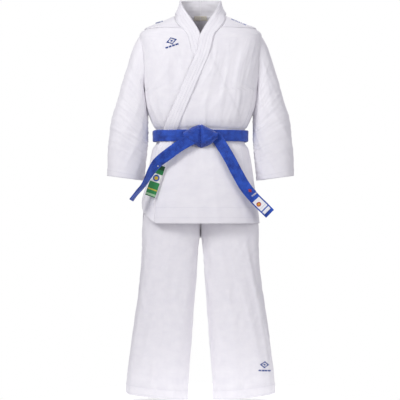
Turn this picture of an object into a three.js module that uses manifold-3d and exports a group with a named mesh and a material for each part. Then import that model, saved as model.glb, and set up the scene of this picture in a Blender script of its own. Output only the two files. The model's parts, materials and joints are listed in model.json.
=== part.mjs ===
// A karate uniform: cross-over jacket, straight trousers and a belt tied in front, shaped as if worn.
// Millimetres, +Z up, the front faces -Y. The origin is the middle of the neck opening.
import * as THREE from 'three';
import { mergeVertices } from 'three/addons/utils/BufferGeometryUtils.js';
import Module from 'manifold-3d';

const wasm = await Module();
wasm.setup();

// Driving dimensions. A drop is measured down from the neck opening.
const clothThickness = 2.5;
const hemThickness = 4;
const bandThickness = 5;
const bandWidth = 50;
const collarHeight = 70;
const neckHalfWidth = 95;
const neckHalfDepth = 76;
const neckRise = 16;
const shoulderHalfWidth = 226;
const shoulderDrop = 60;
const chestHalfWidth = 207;
const chestHalfDepth = 120;
const chestDrop = 297;
const waistHalfWidth = 161;
const waistHalfDepth = 92;
const jacketDrop = 770;
const skirtHalfWidth = 215;
const skirtHalfDepth = 128;
const slitLength = 92;
const armholeHeight = 180;
const armholeDepth = 110;
const sleeveLength = 543;
const sleeveOpening = 140;
const sleeveHalfDepth = 76;
const cuffWidth = 40;
const beltWidth = 42;
const beltThickness = 4;
const beltDrop = 440;
const knotHalfWidth = 60;
const knotHalfHeight = 44;
const knotDepth = 26;
const crotchDrop = 820;
const legLength = 620;
const legWidth = 210;
const legOpening = 238;
const legHalfDepth = 76;
const legSplay = 38;
const legHemWidth = 40;
const seatLength = 340;
const waistbandWidth = 38;
const tagWidth = 38;
const tagLength = 122;

// Clearances
const seamGap = 2.5;
const layerGap = 1.2;
const legClearance = 3;
const cuffGap = 14;

// How far each layer of cloth lies outside the body surface, inside to outside.
const sideLayer = 4;
const underLayer = 0;
const overLayer = underLayer + clothThickness + layerGap + bandThickness + layerGap + 0.6;
const beltFrontLayer = overLayer + bandThickness + layerGap + 2;
const beltSideLayer = sideLayer + clothThickness + layerGap + 2;

const colours = { cotton: 0xefeef4, belt: 0x1e3ca8, label: 0xf4f1e6, tag: 0x2f8a55, elastic: 0xf5f5f5 };
const group = new THREE.Group();

function material(colour, roughness) {
  return new THREE.MeshStandardMaterial({ color: colour, roughness, metalness: 0 });
}

const cotton = () => material(colours.cotton, 0.9);
const beltCotton = () => material(colours.belt, 0.75);

function addPart(name, geometry, partMaterial, parent = group) {
  const mesh = new THREE.Mesh(geometry, partMaterial);
  mesh.name = name;
  parent.add(mesh);
  return mesh;
}

// A smooth curve through rows of [position, value], in falling order of position, level at each turn.
function curveAt(rows, position) {
  const last = rows.length - 1;
  const inside = Math.min(Math.max(position, rows[last][0]), rows[0][0]);
  let i = 0;
  while (i < last - 1 && inside < rows[i + 1][0]) i += 1;
  const slope = (j) => {
    const a = rows[Math.max(j - 1, 0)];
    const b = rows[Math.min(j + 1, last)];
    const turns = j > 0 && j < last && (b[1] - rows[j][1]) * (rows[j][1] - a[1]) <= 0;
    if (turns) return 0;
    return (b[1] - a[1]) / (b[0] - a[0]);
  };
  const span = rows[i + 1][0] - rows[i][0];
  const t = (inside - rows[i][0]) / span;
  const start = rows[i][1] * (1 + 2 * t) * (1 - t) ** 2 + rows[i + 1][1] * t * t * (3 - 2 * t);
  return start + span * slope(i) * t * (1 - t) ** 2 - span * slope(i + 1) * t * t * (1 - t);
}

const smooth = (low, high, value) => THREE.MathUtils.smoothstep(value, low, high);
const lerp = THREE.MathUtils.lerp;
const degrees = THREE.MathUtils.degToRad;

// A solid between two grids of points, closed all round. In a tube the last column joins the first.
function wall(columns, rows, outer, inner, isTube = false) {
  const positions = [];
  const index = [];
  const across = isTube ? columns : columns + 1;
  for (const surface of [outer, inner]) {
    for (let r = 0; r <= rows; r += 1) {
      for (let c = 0; c < across; c += 1) positions.push(...surface(c / columns, r / rows).toArray());
    }
  }
  const inside = across * (rows + 1);
  const at = (c, r, side) => side * inside + r * across + (c % across);
  const quad = (a, b, c, d) => index.push(a, b, c, a, c, d);
  for (let r = 0; r < rows; r += 1) {
    for (let c = 0; c < columns; c += 1) {
      quad(at(c, r, 0), at(c + 1, r, 0), at(c + 1, r + 1, 0), at(c, r + 1, 0));
      quad(at(c, r + 1, 1), at(c + 1, r + 1, 1), at(c + 1, r, 1), at(c, r, 1));
    }
  }
  for (let c = 0; c < columns; c += 1) {
    quad(at(c + 1, 0, 0), at(c, 0, 0), at(c, 0, 1), at(c + 1, 0, 1));
    quad(at(c, rows, 0), at(c + 1, rows, 0), at(c + 1, rows, 1), at(c, rows, 1));
  }
  for (let r = 0; r < rows && !isTube; r += 1) {
    quad(at(0, r, 0), at(0, r + 1, 0), at(0, r + 1, 1), at(0, r, 1));
    quad(at(columns, r + 1, 0), at(columns, r, 0), at(columns, r, 1), at(columns, r + 1, 1));
  }
  const geometry = new THREE.BufferGeometry();
  geometry.setAttribute('position', new THREE.Float32BufferAttribute(positions, 3));
  geometry.setIndex(signedVolume(positions, index) < 0 ? index.reverse() : index);
  geometry.computeVertexNormals();
  return geometry;
}

function signedVolume(positions, index) {
  const point = (i) => new THREE.Vector3().fromArray(positions, 3 * i);
  let volume = 0;
  for (let i = 0; i < index.length; i += 3) {
    volume += point(index[i]).dot(point(index[i + 1]).cross(point(index[i + 2]))) / 6;
  }
  return volume;
}

// Cuts one closed solid with another.
function cut(geometry, cutter) {
  const solid = (source) => {
    const clean = source.clone();
    clean.deleteAttribute('normal');
    clean.deleteAttribute('uv');
    const merged = mergeVertices(clean, 1e-4);
    return new wasm.Manifold(new wasm.Mesh({
      numProp: 3,
      vertProperties: new Float32Array(merged.attributes.position.array),
      triVerts: new Uint32Array(merged.index.array),
    }));
  };
  const result = solid(geometry).subtract(solid(cutter)).getMesh();
  const made = new THREE.BufferGeometry();
  made.setAttribute('position', new THREE.Float32BufferAttribute(result.vertProperties, 3));
  made.setIndex([...result.triVerts]);
  made.computeVertexNormals();
  return made;
}

// The body surface: level rounded sections from the neck to below the jacket's hem.
const shoulderTip = -shoulderDrop;
const jacketHem = -jacketDrop;
const crotch = -crotchDrop;
const seatFlare = 16;
const hipAxis = crotch + 18;
const seatOverlap = 17;
const sideDrop = 26;
const collarTop = neckRise + collarHeight;
const beltTop = -beltDrop + beltWidth / 2 + 3;
const beltBottom = -beltDrop - beltWidth / 2 - 3;
const halfWidths = [
  [collarTop, 0.74 * neckHalfWidth],
  [neckRise, neckHalfWidth],
  [lerp(neckRise, shoulderTip, 0.22), lerp(neckHalfWidth, shoulderHalfWidth, 0.24)],
  [lerp(neckRise, shoulderTip, 0.68), lerp(neckHalfWidth, shoulderHalfWidth, 0.82)],
  [shoulderTip, shoulderHalfWidth],
  [lerp(shoulderTip, -chestDrop, 0.4), lerp(shoulderHalfWidth, chestHalfWidth, 0.2)],
  [-chestDrop, chestHalfWidth],
  [-beltDrop + 60, waistHalfWidth + 22],
  [beltTop, waistHalfWidth],
  [beltBottom, waistHalfWidth],
  [beltBottom - 26, waistHalfWidth + 14],
  [lerp(-beltDrop, jacketHem, 0.55), lerp(waistHalfWidth, skirtHalfWidth, 0.66)],
  [jacketHem, skirtHalfWidth],
  [crotch + 22, skirtHalfWidth + seatFlare],
  [crotch - 30, skirtHalfWidth + seatFlare + 3],
];
const halfDepths = [
  [collarTop, 0.78 * neckHalfDepth],
  [neckRise, neckHalfDepth],
  [lerp(neckRise, shoulderTip, 0.22), neckHalfDepth + 7],
  [shoulderTip, chestHalfDepth - 10],
  [-chestDrop, chestHalfDepth],
  [-beltDrop + 60, waistHalfDepth + 15],
  [beltTop, waistHalfDepth],
  [beltBottom, waistHalfDepth],
  [beltBottom - 26, waistHalfDepth + 8],
  [lerp(-beltDrop, jacketHem, 0.55), lerp(waistHalfDepth, skirtHalfDepth, 0.7)],
  [jacketHem, skirtHalfDepth],
  [crotch - 30, skirtHalfDepth - 14],
];
const centreLine = [[collarTop, 10], [neckRise, 8], [shoulderTip, 2], [-chestDrop, 0], [crotch, 0]];
const sectionPower = 2.3;
const bent = (value) => Math.sign(value) * Math.abs(value) ** (2 / sectionPower);

// On the slope of the shoulders a layer also lies higher than the one below it.
const lift = (z) => 0.8 * (smooth(shoulderTip - 10, shoulderTip + 30, z) - smooth(neckRise - 3, neckRise + 5, z));

// angle 0 is the front centre and grows towards +X; layer is the distance outside the body surface.
function bodyPoint(angle, z, layer) {
  const width = curveAt(halfWidths, z) + layer;
  const depth = curveAt(halfDepths, z) + layer;
  const y = curveAt(centreLine, z) - depth * bent(Math.cos(angle));
  return new THREE.Vector3(width * bent(Math.sin(angle)), y, z + layer * lift(z));
}

// The angle at which a front layer of cloth reaches x.
function angleAt(x, z, layer) {
  const share = Math.min(Math.abs(x) / (curveAt(halfWidths, z) + layer), 1);
  return Math.sign(x) * Math.asin(share ** (sectionPower / 2));
}

const frontness = (angle) => 1 - smooth(degrees(60), degrees(88), angle);

// Each front is flush with the back at its own side and shoulder seams and parted where they cross.
function frontLayer(layer, angle, z) {
  const parted = frontness(angle) * (1 - smooth(-50, 10, z));
  return lerp(sideLayer, layer, parted);
}

// The crossing edges, as [z, x] from the neck down; x is positive towards the side the front is sewn to.
const vDrop = 62;
const hip = jacketHem + slitLength;
const leadEdge = [
  [collarTop - 10, 68], [46, 60], [0, 34], [-vDrop, 0],
  [lerp(-vDrop, hip, 0.11), -16],
  [lerp(-vDrop, hip, 0.27), -56],
  [lerp(-vDrop, hip, 0.54), -124],
  [lerp(-vDrop, hip, 0.77), -168],
  [hip + 10, 8 - skirtHalfWidth],
  [hip - 6, 2 - skirtHalfWidth],
];
const underReach = 26;
const underWidest = 0.85;
const overWidest = 0.88;

function leadX(isOver, z) {
  const reach = isOver ? 0 : underReach * smooth(vDrop, 300, -z);
  const hipShare = overWidest + 0.14 * smooth(0, 60, beltBottom - z);
  const widest = (isOver ? hipShare : underWidest) * curveAt(halfWidths, z);
  return Math.max(curveAt(leadEdge, z) - reach, -widest);
}

function seamX(isOver, z) {
  const shoulderEnd = neckHalfWidth - 4;
  const onChest = leadX(isOver, z) + bandWidth * 1.02;
  return lerp(onChest, shoulderEnd, smooth(-70, neckRise, z));
}

// The open side slits: how far a front or back edge stands back from the side at height z.
function slitAngle(widest, z) {
  return degrees(widest) * THREE.MathUtils.clamp((jacketHem + slitLength - z) / slitLength, 0, 1);
}

const armhole = new THREE.ExtrudeGeometry(
  new THREE.Shape().absellipse(0, 0, armholeHeight / 2, armholeDepth / 2, 0, 2 * Math.PI),
  { depth: 2 * (shoulderHalfWidth + 16), bevelEnabled: false, curveSegments: 7 },
);
armhole.rotateY(-Math.PI / 2);
armhole.translate(shoulderHalfWidth + 16, 0, shoulderTip - 24 - armholeHeight / 2);

// Heights of the rows of points on the jacket's body, closest where it curves.
const stops = [
  jacketHem, jacketHem + slitLength, beltBottom - 26, beltBottom, beltTop, -beltDrop + 60,
  -chestDrop, shoulderTip, neckRise - 3,
];
const rowsBetween = [2, 3, 1, 1, 1, 2, 4, 4];
const levels = stops.flatMap((stop, i) => {
  const count = rowsBetween[i] ?? 1;
  return Array.from({ length: count }, (_, k) => lerp(stop, stops[i + 1] ?? stop, k / count));
});
const levelAt = (v) => levels[Math.round(v * (levels.length - 1))];

// One front: side is +1 for the one sewn at +X, which lies on top, and -1 for the one beneath.
function frontPanel(side) {
  const isOver = side > 0;
  const layer = isOver ? overLayer : underLayer;
  const ownSlit = isOver ? 8 : 44;
  const farSlit = isOver ? 44 : 8;
  const point = (extra) => (u, v) => {
    const z = levelAt(v);
    const seam = angleAt(seamX(isOver, z) + seamGap, z, frontLayer(layer, 0, z));
    const slitEdge = -Math.PI / 2 + slitAngle(farSlit, z) + degrees(3);
    const edge = Math.max(seam, slitEdge);
    const own = Math.PI / 2 - slitAngle(ownSlit, z) - degrees(0.4);
    const angle = lerp(own, Math.min(edge, own - degrees(3)), u);
    const place = bodyPoint(angle, z, frontLayer(layer, angle, z) + extra);
    place.x *= side;
    return place;
  };
  return cut(wall(16, levels.length - 1, point(clothThickness), point(0)), armhole);
}

// One half of the back, from its side seam to the seam down the middle of the back.
const backSeam = degrees(0.3);
function backPanel(side) {
  const widest = side > 0 ? 20 : 8;
  const point = (extra) => (u, v) => {
    const z = levelAt(v);
    const own = Math.PI / 2 + slitAngle(widest, z) + degrees(0.4);
    const place = bodyPoint(lerp(own, Math.PI - backSeam, u), z, sideLayer + extra);
    place.x *= side;
    return place;
  };
  return cut(wall(12, levels.length - 1, point(clothThickness), point(0)), armhole);
}

// A reinforcing layer over each shoulder, from the front yoke seam to the back one.
const yokeDrop = 42;
function shoulderYoke(side) {
  const isOver = side > 0;
  const layer = isOver ? overLayer : underLayer;
  const point = (extra) => (u, v) => {
    const z = lerp(-yokeDrop, neckRise - 7, v);
    const front = angleAt(seamX(isOver, z) + 2 * seamGap, z, sideLayer);
    const angle = lerp(front, Math.PI - degrees(1), u);
    const place = bodyPoint(angle, z, frontLayer(layer, angle, z) + clothThickness + 2 * layerGap + extra);
    place.x *= side;
    return place;
  };
  return wall(14, 4, point(clothThickness), point(0));
}

// The neck and lapel band: the seam edge joins the cloth, the lead edge is free and leads the front.
const neckShare = 0.24;
const bandRise = 5;

function bandEdges(isOver, v) {
  const layer = isOver ? overLayer : underLayer;
  const onBody = (z, x) => ({ z, angle: angleAt(x, z, frontLayer(layer, 0, z)) });
  const seamStart = onBody(neckRise, seamX(isOver, neckRise));
  const leadStart = onBody(collarTop - 10, leadX(isOver, collarTop - 10));
  if (v < neckShare) {
    const round = v / neckShare;
    const back = Math.PI - degrees(0.6);
    return [
      { z: collarTop - 10 * smooth(0, 1, round), angle: lerp(back, leadStart.angle, round) },
      { z: neckRise + bandRise, angle: lerp(back, seamStart.angle, round) },
    ];
  }
  const share = (v - neckShare) / (1 - neckShare);
  const seamEnd = jacketHem + (isOver ? 30 : slitLength + 40);
  const leadEnd = jacketHem + slitLength + (isOver ? -6 : 50);
  const seamZ = lerp(neckRise, seamEnd, share ** 1.15);
  const leadZ = lerp(collarTop - 10, leadEnd, share ** 1.02);
  const seam = onBody(seamZ, seamX(isOver, seamZ));
  seam.z += bandRise * (1 - smooth(0, 0.04, share));
  return [onBody(leadZ, leadX(isOver, leadZ)), seam];
}

function lapelBand(side) {
  const isOver = side > 0;
  const layer = isOver ? overLayer : underLayer;
  const point = (extra) => (u, v) => {
    const [lead, seam] = bandEdges(isOver, v);
    const angle = lerp(lead.angle, seam.angle, u);
    const z = lerp(lead.z, seam.z, u);
    const place = bodyPoint(angle, z, frontLayer(layer, angle, z) + extra);
    place.x *= side;
    return place;
  };
  return wall(3, 44, point(bandThickness), point(0.2));
}

// Sleeves: level sections between an inner and an outer line, cut square to the arm at the cuff.
const sleeveTop = shoulderTip - 2;
const cuffEnd = sleeveTop - sleeveLength;
const sideFace = (z) => curveAt(halfWidths, z) + sideLayer + clothThickness;
const sleeveInside = [
  [sleeveTop, sideFace(sleeveTop) + seamGap],
  [-chestDrop, sideFace(-chestDrop) + seamGap],
  [-beltDrop, sideFace(-beltDrop) + 28],
  [cuffEnd, sideFace(cuffEnd) + cuffGap],
];
const sleeveOutside = [
  [sleeveTop, sideFace(sleeveTop) + 9],
  [sleeveTop - 22, sideFace(sleeveTop) + 19],
  [-150, sideFace(-150) + 43],
  [-chestDrop, sideFace(-chestDrop) + 102],
  [-beltDrop, sideFace(-beltDrop) + 178],
  [cuffEnd, sideFace(cuffEnd) + cuffGap + sleeveOpening],
];
const sleeveDepths = [
  [sleeveTop, 24], [sleeveTop - 22, 48], [-150, 70], [-260, sleeveHalfDepth], [cuffEnd, sleeveHalfDepth - 14],
];
const cuffTilt = 0.14;

function tubePoint(inside, outside, depths, angle, z, layer, side) {
  const near = curveAt(inside, z);
  const far = curveAt(outside, z);
  const x = (near + far) / 2 + ((far - near) / 2 + layer) * Math.sin(angle);
  return new THREE.Vector3(side * x, -(curveAt(depths, z) + layer) * Math.cos(angle), z);
}

const sleevePoint = (angle, z, layer, side) =>
  tubePoint(sleeveInside, sleeveOutside, sleeveDepths, angle, z, layer, side);

function cuffHeight(angle) {
  return cuffEnd + cuffTilt * (sleeveOpening / 2) * (1 + Math.sin(angle));
}

// angle runs from 0 at the front through the outer side; the gusset closes the side next to the body.
const gussetStart = 1.25 * Math.PI;
const gussetEnd = 1.75 * Math.PI;
const armholeBottom = shoulderTip - 24 - armholeHeight;

function sleeve(side) {
  const point = (extra) => (u, v) => {
    const angle = lerp(gussetEnd - 2 * Math.PI, gussetStart, u);
    const z = lerp(sleeveTop, cuffHeight(angle) + cuffWidth + seamGap / 2, v);
    return sleevePoint(angle, z, extra, side);
  };
  return wall(16, 11, point(0), point(-clothThickness));
}

function gusset(side) {
  const point = (extra) => (u, v) => {
    const space = degrees(2.5);
    const angle = lerp(gussetStart + space, gussetEnd - space, u);
    const z = lerp(armholeBottom, cuffHeight(angle) + cuffWidth + seamGap / 2, v);
    return sleevePoint(angle, z, extra, side);
  };
  return wall(5, 8, point(0), point(-clothThickness));
}

function cuff(side) {
  const point = (extra) => (u, v) => {
    const angle = 2 * Math.PI * u;
    return sleevePoint(angle, cuffHeight(angle) + cuffWidth * v, extra, side);
  };
  return wall(22, 1, point(0.5), point(0.5 - hemThickness), true);
}

// Trousers
const seatTop = crotch + seatLength + 25;
const seatLayer = -6;

function seat() {
  const point = (extra) => (u, v) => {
    const angle = 2 * Math.PI * u;
    const bottom = hipAxis + seatOverlap - sideDrop * Math.abs(Math.sin(angle)) ** 12;
    return bodyPoint(angle, lerp(bottom, seatTop, v ** 1.8), seatLayer + extra);
  };
  return wall(36, 8, point(0), point(-clothThickness), true);
}

function waistband() {
  const point = (extra) => (u, v) =>
    bodyPoint(2 * Math.PI * u, seatTop + seamGap + waistbandWidth * v, seatLayer + 0.5 + extra);
  return wall(36, 1, point(0), point(-hemThickness), true);
}

// The seam strip that closes the crotch between the legs and joins the seat's front and back.
const gussetHalfWidth = 5;
function crotchGusset() {
  const reach = skirtHalfDepth - 24;
  const rise = seatOverlap + hipAxis - crotch - hemThickness;
  const strip = new THREE.Shape();
  strip.moveTo(-reach, rise);
  strip.quadraticCurveTo(0, -rise, reach, rise);
  strip.lineTo(reach, rise + hemThickness);
  strip.quadraticCurveTo(0, -rise + hemThickness, -reach, rise + hemThickness);
  const geometry = new THREE.ExtrudeGeometry(strip, {
    depth: 2 * gussetHalfWidth, bevelEnabled: false, curveSegments: 10,
  });
  geometry.rotateX(Math.PI / 2);
  geometry.rotateZ(Math.PI / 2);
  geometry.translate(-gussetHalfWidth, 0, crotch - 4);
  return geometry;
}

const legTop = hipAxis - legClearance;
const legEnd = crotch - legLength;
const legNear = gussetHalfWidth + 2;
const legInside = [[legTop, legNear], [legEnd, legNear + legSplay]];
const legOutside = [[legTop, legNear + legWidth], [legEnd, legNear + legSplay + legOpening]];
const legDepths = [[legTop, legHalfDepth], [lerp(legTop, legEnd, 0.5), legHalfDepth - 6], [legEnd, legHalfDepth]];
const hemTilt = 0.114;

const legPoint = (angle, z, layer, side) =>
  tubePoint(legInside, legOutside, legDepths, angle, z, layer, side);

function legBottom(angle) {
  return legEnd + hemTilt * (legOpening / 2) * (1 + Math.sin(angle));
}

function leg(side) {
  const point = (extra) => (u, v) => {
    const angle = 2 * Math.PI * u;
    const z = lerp(legBottom(angle) + legHemWidth + seamGap / 2, legTop, v);
    return legPoint(angle, z, extra, side);
  };
  return wall(24, 6, point(0), point(-clothThickness), true);
}

function legHem(side) {
  const point = (extra) => (u, v) => {
    const angle = 2 * Math.PI * u;
    return legPoint(angle, legBottom(angle) + legHemWidth * v, extra, side);
  };
  return wall(24, 1, point(0.5), point(0.5 - hemThickness), true);
}

// The belt goes round twice, is knotted in front and ends in two tails.
const beltLayer = (angle) => lerp(beltSideLayer, beltFrontLayer, frontness(Math.abs(angle)));

function beltWrap(turn) {
  const point = (extra) => (u, v) => {
    const angle = 2 * Math.PI * u - Math.PI;
    const z = -beltDrop - beltWidth / 2 + beltWidth * v;
    const waist = bodyPoint(angle, -beltDrop, beltLayer(angle) + turn * (beltThickness + 0.8) + extra);
    return waist.setZ(z);
  };
  return wall(44, 1, point(beltThickness), point(0), true);
}

const beltFace = waistHalfDepth + beltFrontLayer + 2 * beltThickness + 0.8;
const knotBack = -beltFace - 2;

function knot() {
  const outline = new THREE.Shape();
  outline.moveTo(0, knotHalfHeight - 6);
  outline.quadraticCurveTo(0.6 * knotHalfWidth, 0.8 * knotHalfHeight, knotHalfWidth - 6, 0.3 * knotHalfHeight);
  outline.quadraticCurveTo(0.9 * knotHalfWidth, -0.35 * knotHalfHeight, 0, -knotHalfHeight + 6);
  outline.quadraticCurveTo(-0.9 * knotHalfWidth, -0.35 * knotHalfHeight, 6 - knotHalfWidth, 0.3 * knotHalfHeight);
  outline.quadraticCurveTo(-0.6 * knotHalfWidth, 0.8 * knotHalfHeight, 0, knotHalfHeight - 6);
  const geometry = new THREE.ExtrudeGeometry(outline, {
    depth: knotDepth - 12, curveSegments: 6, bevelThickness: 6, bevelSize: 6, bevelSegments: 3,
  });
  geometry.rotateX(Math.PI / 2);
  geometry.translate(0, knotBack - 6, -beltDrop);
  return geometry;
}

// A flat strip along points, turned about its own line by twist(v) and width(v) wide.
function strip(points, width, twist, low, high, steps, from = 0, to = 1) {
  const curve = new THREE.CatmullRomCurve3(points);
  const forward = new THREE.Vector3(0, -1, 0);
  const point = (extra) => (u, v) => {
    const share = lerp(from, to, v);
    const along = curve.getTangentAt(share);
    const flat = along.clone().cross(forward).normalize();
    const front = flat.clone().cross(along).normalize();
    const across = flat.clone().applyAxisAngle(along, twist(share));
    const face = front.applyAxisAngle(along, twist(share));
    const place = curve.getPointAt(share).addScaledVector(across, width * (u - 0.5));
    return place.addScaledVector(face, extra);
  };
  return wall(2, steps, point(high), point(low));
}

const tailTop = -beltDrop - knotHalfHeight + 12;
const tailFront = knotBack - knotDepth / 2;
const rightTailPoints = [
  new THREE.Vector3(-68, tailFront, tailTop - 3),
  new THREE.Vector3(-115, tailFront - 2, tailTop - 38),
  new THREE.Vector3(-157, tailFront - 3, tailTop - 71),
  new THREE.Vector3(-192, tailFront - 4, tailTop - 126),
  new THREE.Vector3(-210, tailFront - 5, tailTop - 157),
  new THREE.Vector3(-256, tailFront - 6, tailTop - 214),
];
const leftTailPoints = [
  new THREE.Vector3(72, tailFront, tailTop),
  new THREE.Vector3(105, tailFront - 2, tailTop - 52),
  new THREE.Vector3(134, tailFront - 3, tailTop - 108),
  new THREE.Vector3(164, tailFront - 4, tailTop - 159),
  new THREE.Vector3(228, tailFront - 6, tailTop - 232),
  new THREE.Vector3(258, tailFront - 7, tailTop - 262),
];
const rightTwist = (share) => 1.15 * smooth(0.25, 0.85, share);
const noTwist = () => 0;

// The tag hangs behind the tail, clear of the edge that the twist turns back, on a pin through both.
const tagFace = tailFront + beltWidth / 2;
const tagThickness = 1;
const tagTilt = degrees(19);
const pinX = -158;
const pinZ = tailTop - 84;
const pinFromTop = 6;
const pinFromMiddle = 7.5;
const pinReach = 2.4;

function tagPoint(u, v, y) {
  const across = tagWidth * (u - 0.5) + pinFromMiddle;
  const down = tagLength * (1 - v) - pinFromTop;
  const x = pinX - Math.sin(tagTilt) * down + Math.cos(tagTilt) * across;
  const z = pinZ - Math.cos(tagTilt) * down - Math.sin(tagTilt) * across;
  return new THREE.Vector3(x, y, z);
}

function tag() {
  const back = tagFace + tagThickness;
  return wall(1, 1, (u, v) => tagPoint(u, v, tagFace), (u, v) => tagPoint(u, v, back));
}

function tagPin() {
  const near = tailFront - pinReach;
  const far = tagFace - 0.4;
  const geometry = new THREE.CylinderGeometry(1.2, 1.2, far - near, 12);
  geometry.translate(pinX, (near + far) / 2, pinZ);
  return geometry;
}

function neckLabel() {
  const point = (extra) => (u, v) => {
    const angle = Math.PI + degrees(lerp(-15, 15, u));
    return bodyPoint(angle, lerp(-18, neckRise - 4, v), sideLayer - 1.6 + extra);
  };
  return wall(6, 2, point(0.8), point(0));
}

// Tapes sewn inside the hip, which tie the lower front shut.
function innerTie(from, to, length) {
  const point = (extra) => (u, v) => {
    const angle = degrees(lerp(from, to, u));
    return bodyPoint(angle, lerp(-beltDrop - 40, -beltDrop - 40 - length, v), underLayer - 3.2 + extra);
  };
  return wall(1, 6, point(1), point(0));
}

// Small patches that stop each side slit from tearing.
function slitTab(side) {
  const point = (extra) => (u, v) => {
    const angle = Math.PI / 2 + degrees(lerp(-5, 5, u));
    const z = jacketHem + slitLength + lerp(4, 34, v);
    const place = bodyPoint(angle, z, sideLayer + clothThickness + layerGap + extra);
    place.x *= side;
    return place;
  };
  return wall(2, 2, point(1.2), point(0));
}

addPart('front_panel_over', frontPanel(1), cotton());
addPart('front_panel_under', frontPanel(-1), cotton());
addPart('lapel_band_over', lapelBand(1), cotton());
addPart('lapel_band_under', lapelBand(-1), cotton());
addPart('belt_wrap_inner', beltWrap(0), beltCotton());
addPart('belt_wrap_outer', beltWrap(1), beltCotton());
addPart('belt_knot', knot(), beltCotton());
addPart('belt_tail_right', strip(rightTailPoints, beltWidth - 2, rightTwist, -2, 2, 18), beltCotton());
addPart('belt_tail_left', strip(leftTailPoints, beltWidth - 2, noTwist, -2, 2, 18), beltCotton());
addPart('belt_label', strip(leftTailPoints, beltWidth - 10, noTwist, 2.4, 3.4, 3, 0.78, 0.93),
  material(colours.label, 0.7));
addPart('swing_tag', tag(), material(colours.tag, 0.4));
addPart('tag_pin', tagPin(), material(colours.label, 0.5));
addPart('neck_label', neckLabel(), material(colours.label, 0.8));
addPart('inner_tie_front', innerTie(66, 70, 150), cotton());
addPart('inner_tie_side', innerTie(76, 80, 165), cotton());
addPart('trouser_seat', seat(), cotton());
addPart('waistband', waistband(), material(colours.elastic, 0.85));
addPart('crotch_gusset', crotchGusset(), cotton());
for (const [name, side] of [['left', 1], ['right', -1]]) {
  addPart(`back_panel_${name}`, backPanel(side), cotton());
  addPart(`shoulder_yoke_${name}`, shoulderYoke(side), cotton());
  addPart(`sleeve_${name}`, sleeve(side), cotton());
  addPart(`underarm_gusset_${name}`, gusset(side), cotton());
  addPart(`cuff_${name}`, cuff(side), cotton());
  addPart(`slit_tab_${name}`, slitTab(side), cotton());
  addPart(`trouser_leg_${name}`, leg(side), cotton());
  addPart(`leg_hem_${name}`, legHem(side), cotton());
}

export default group;
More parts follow.
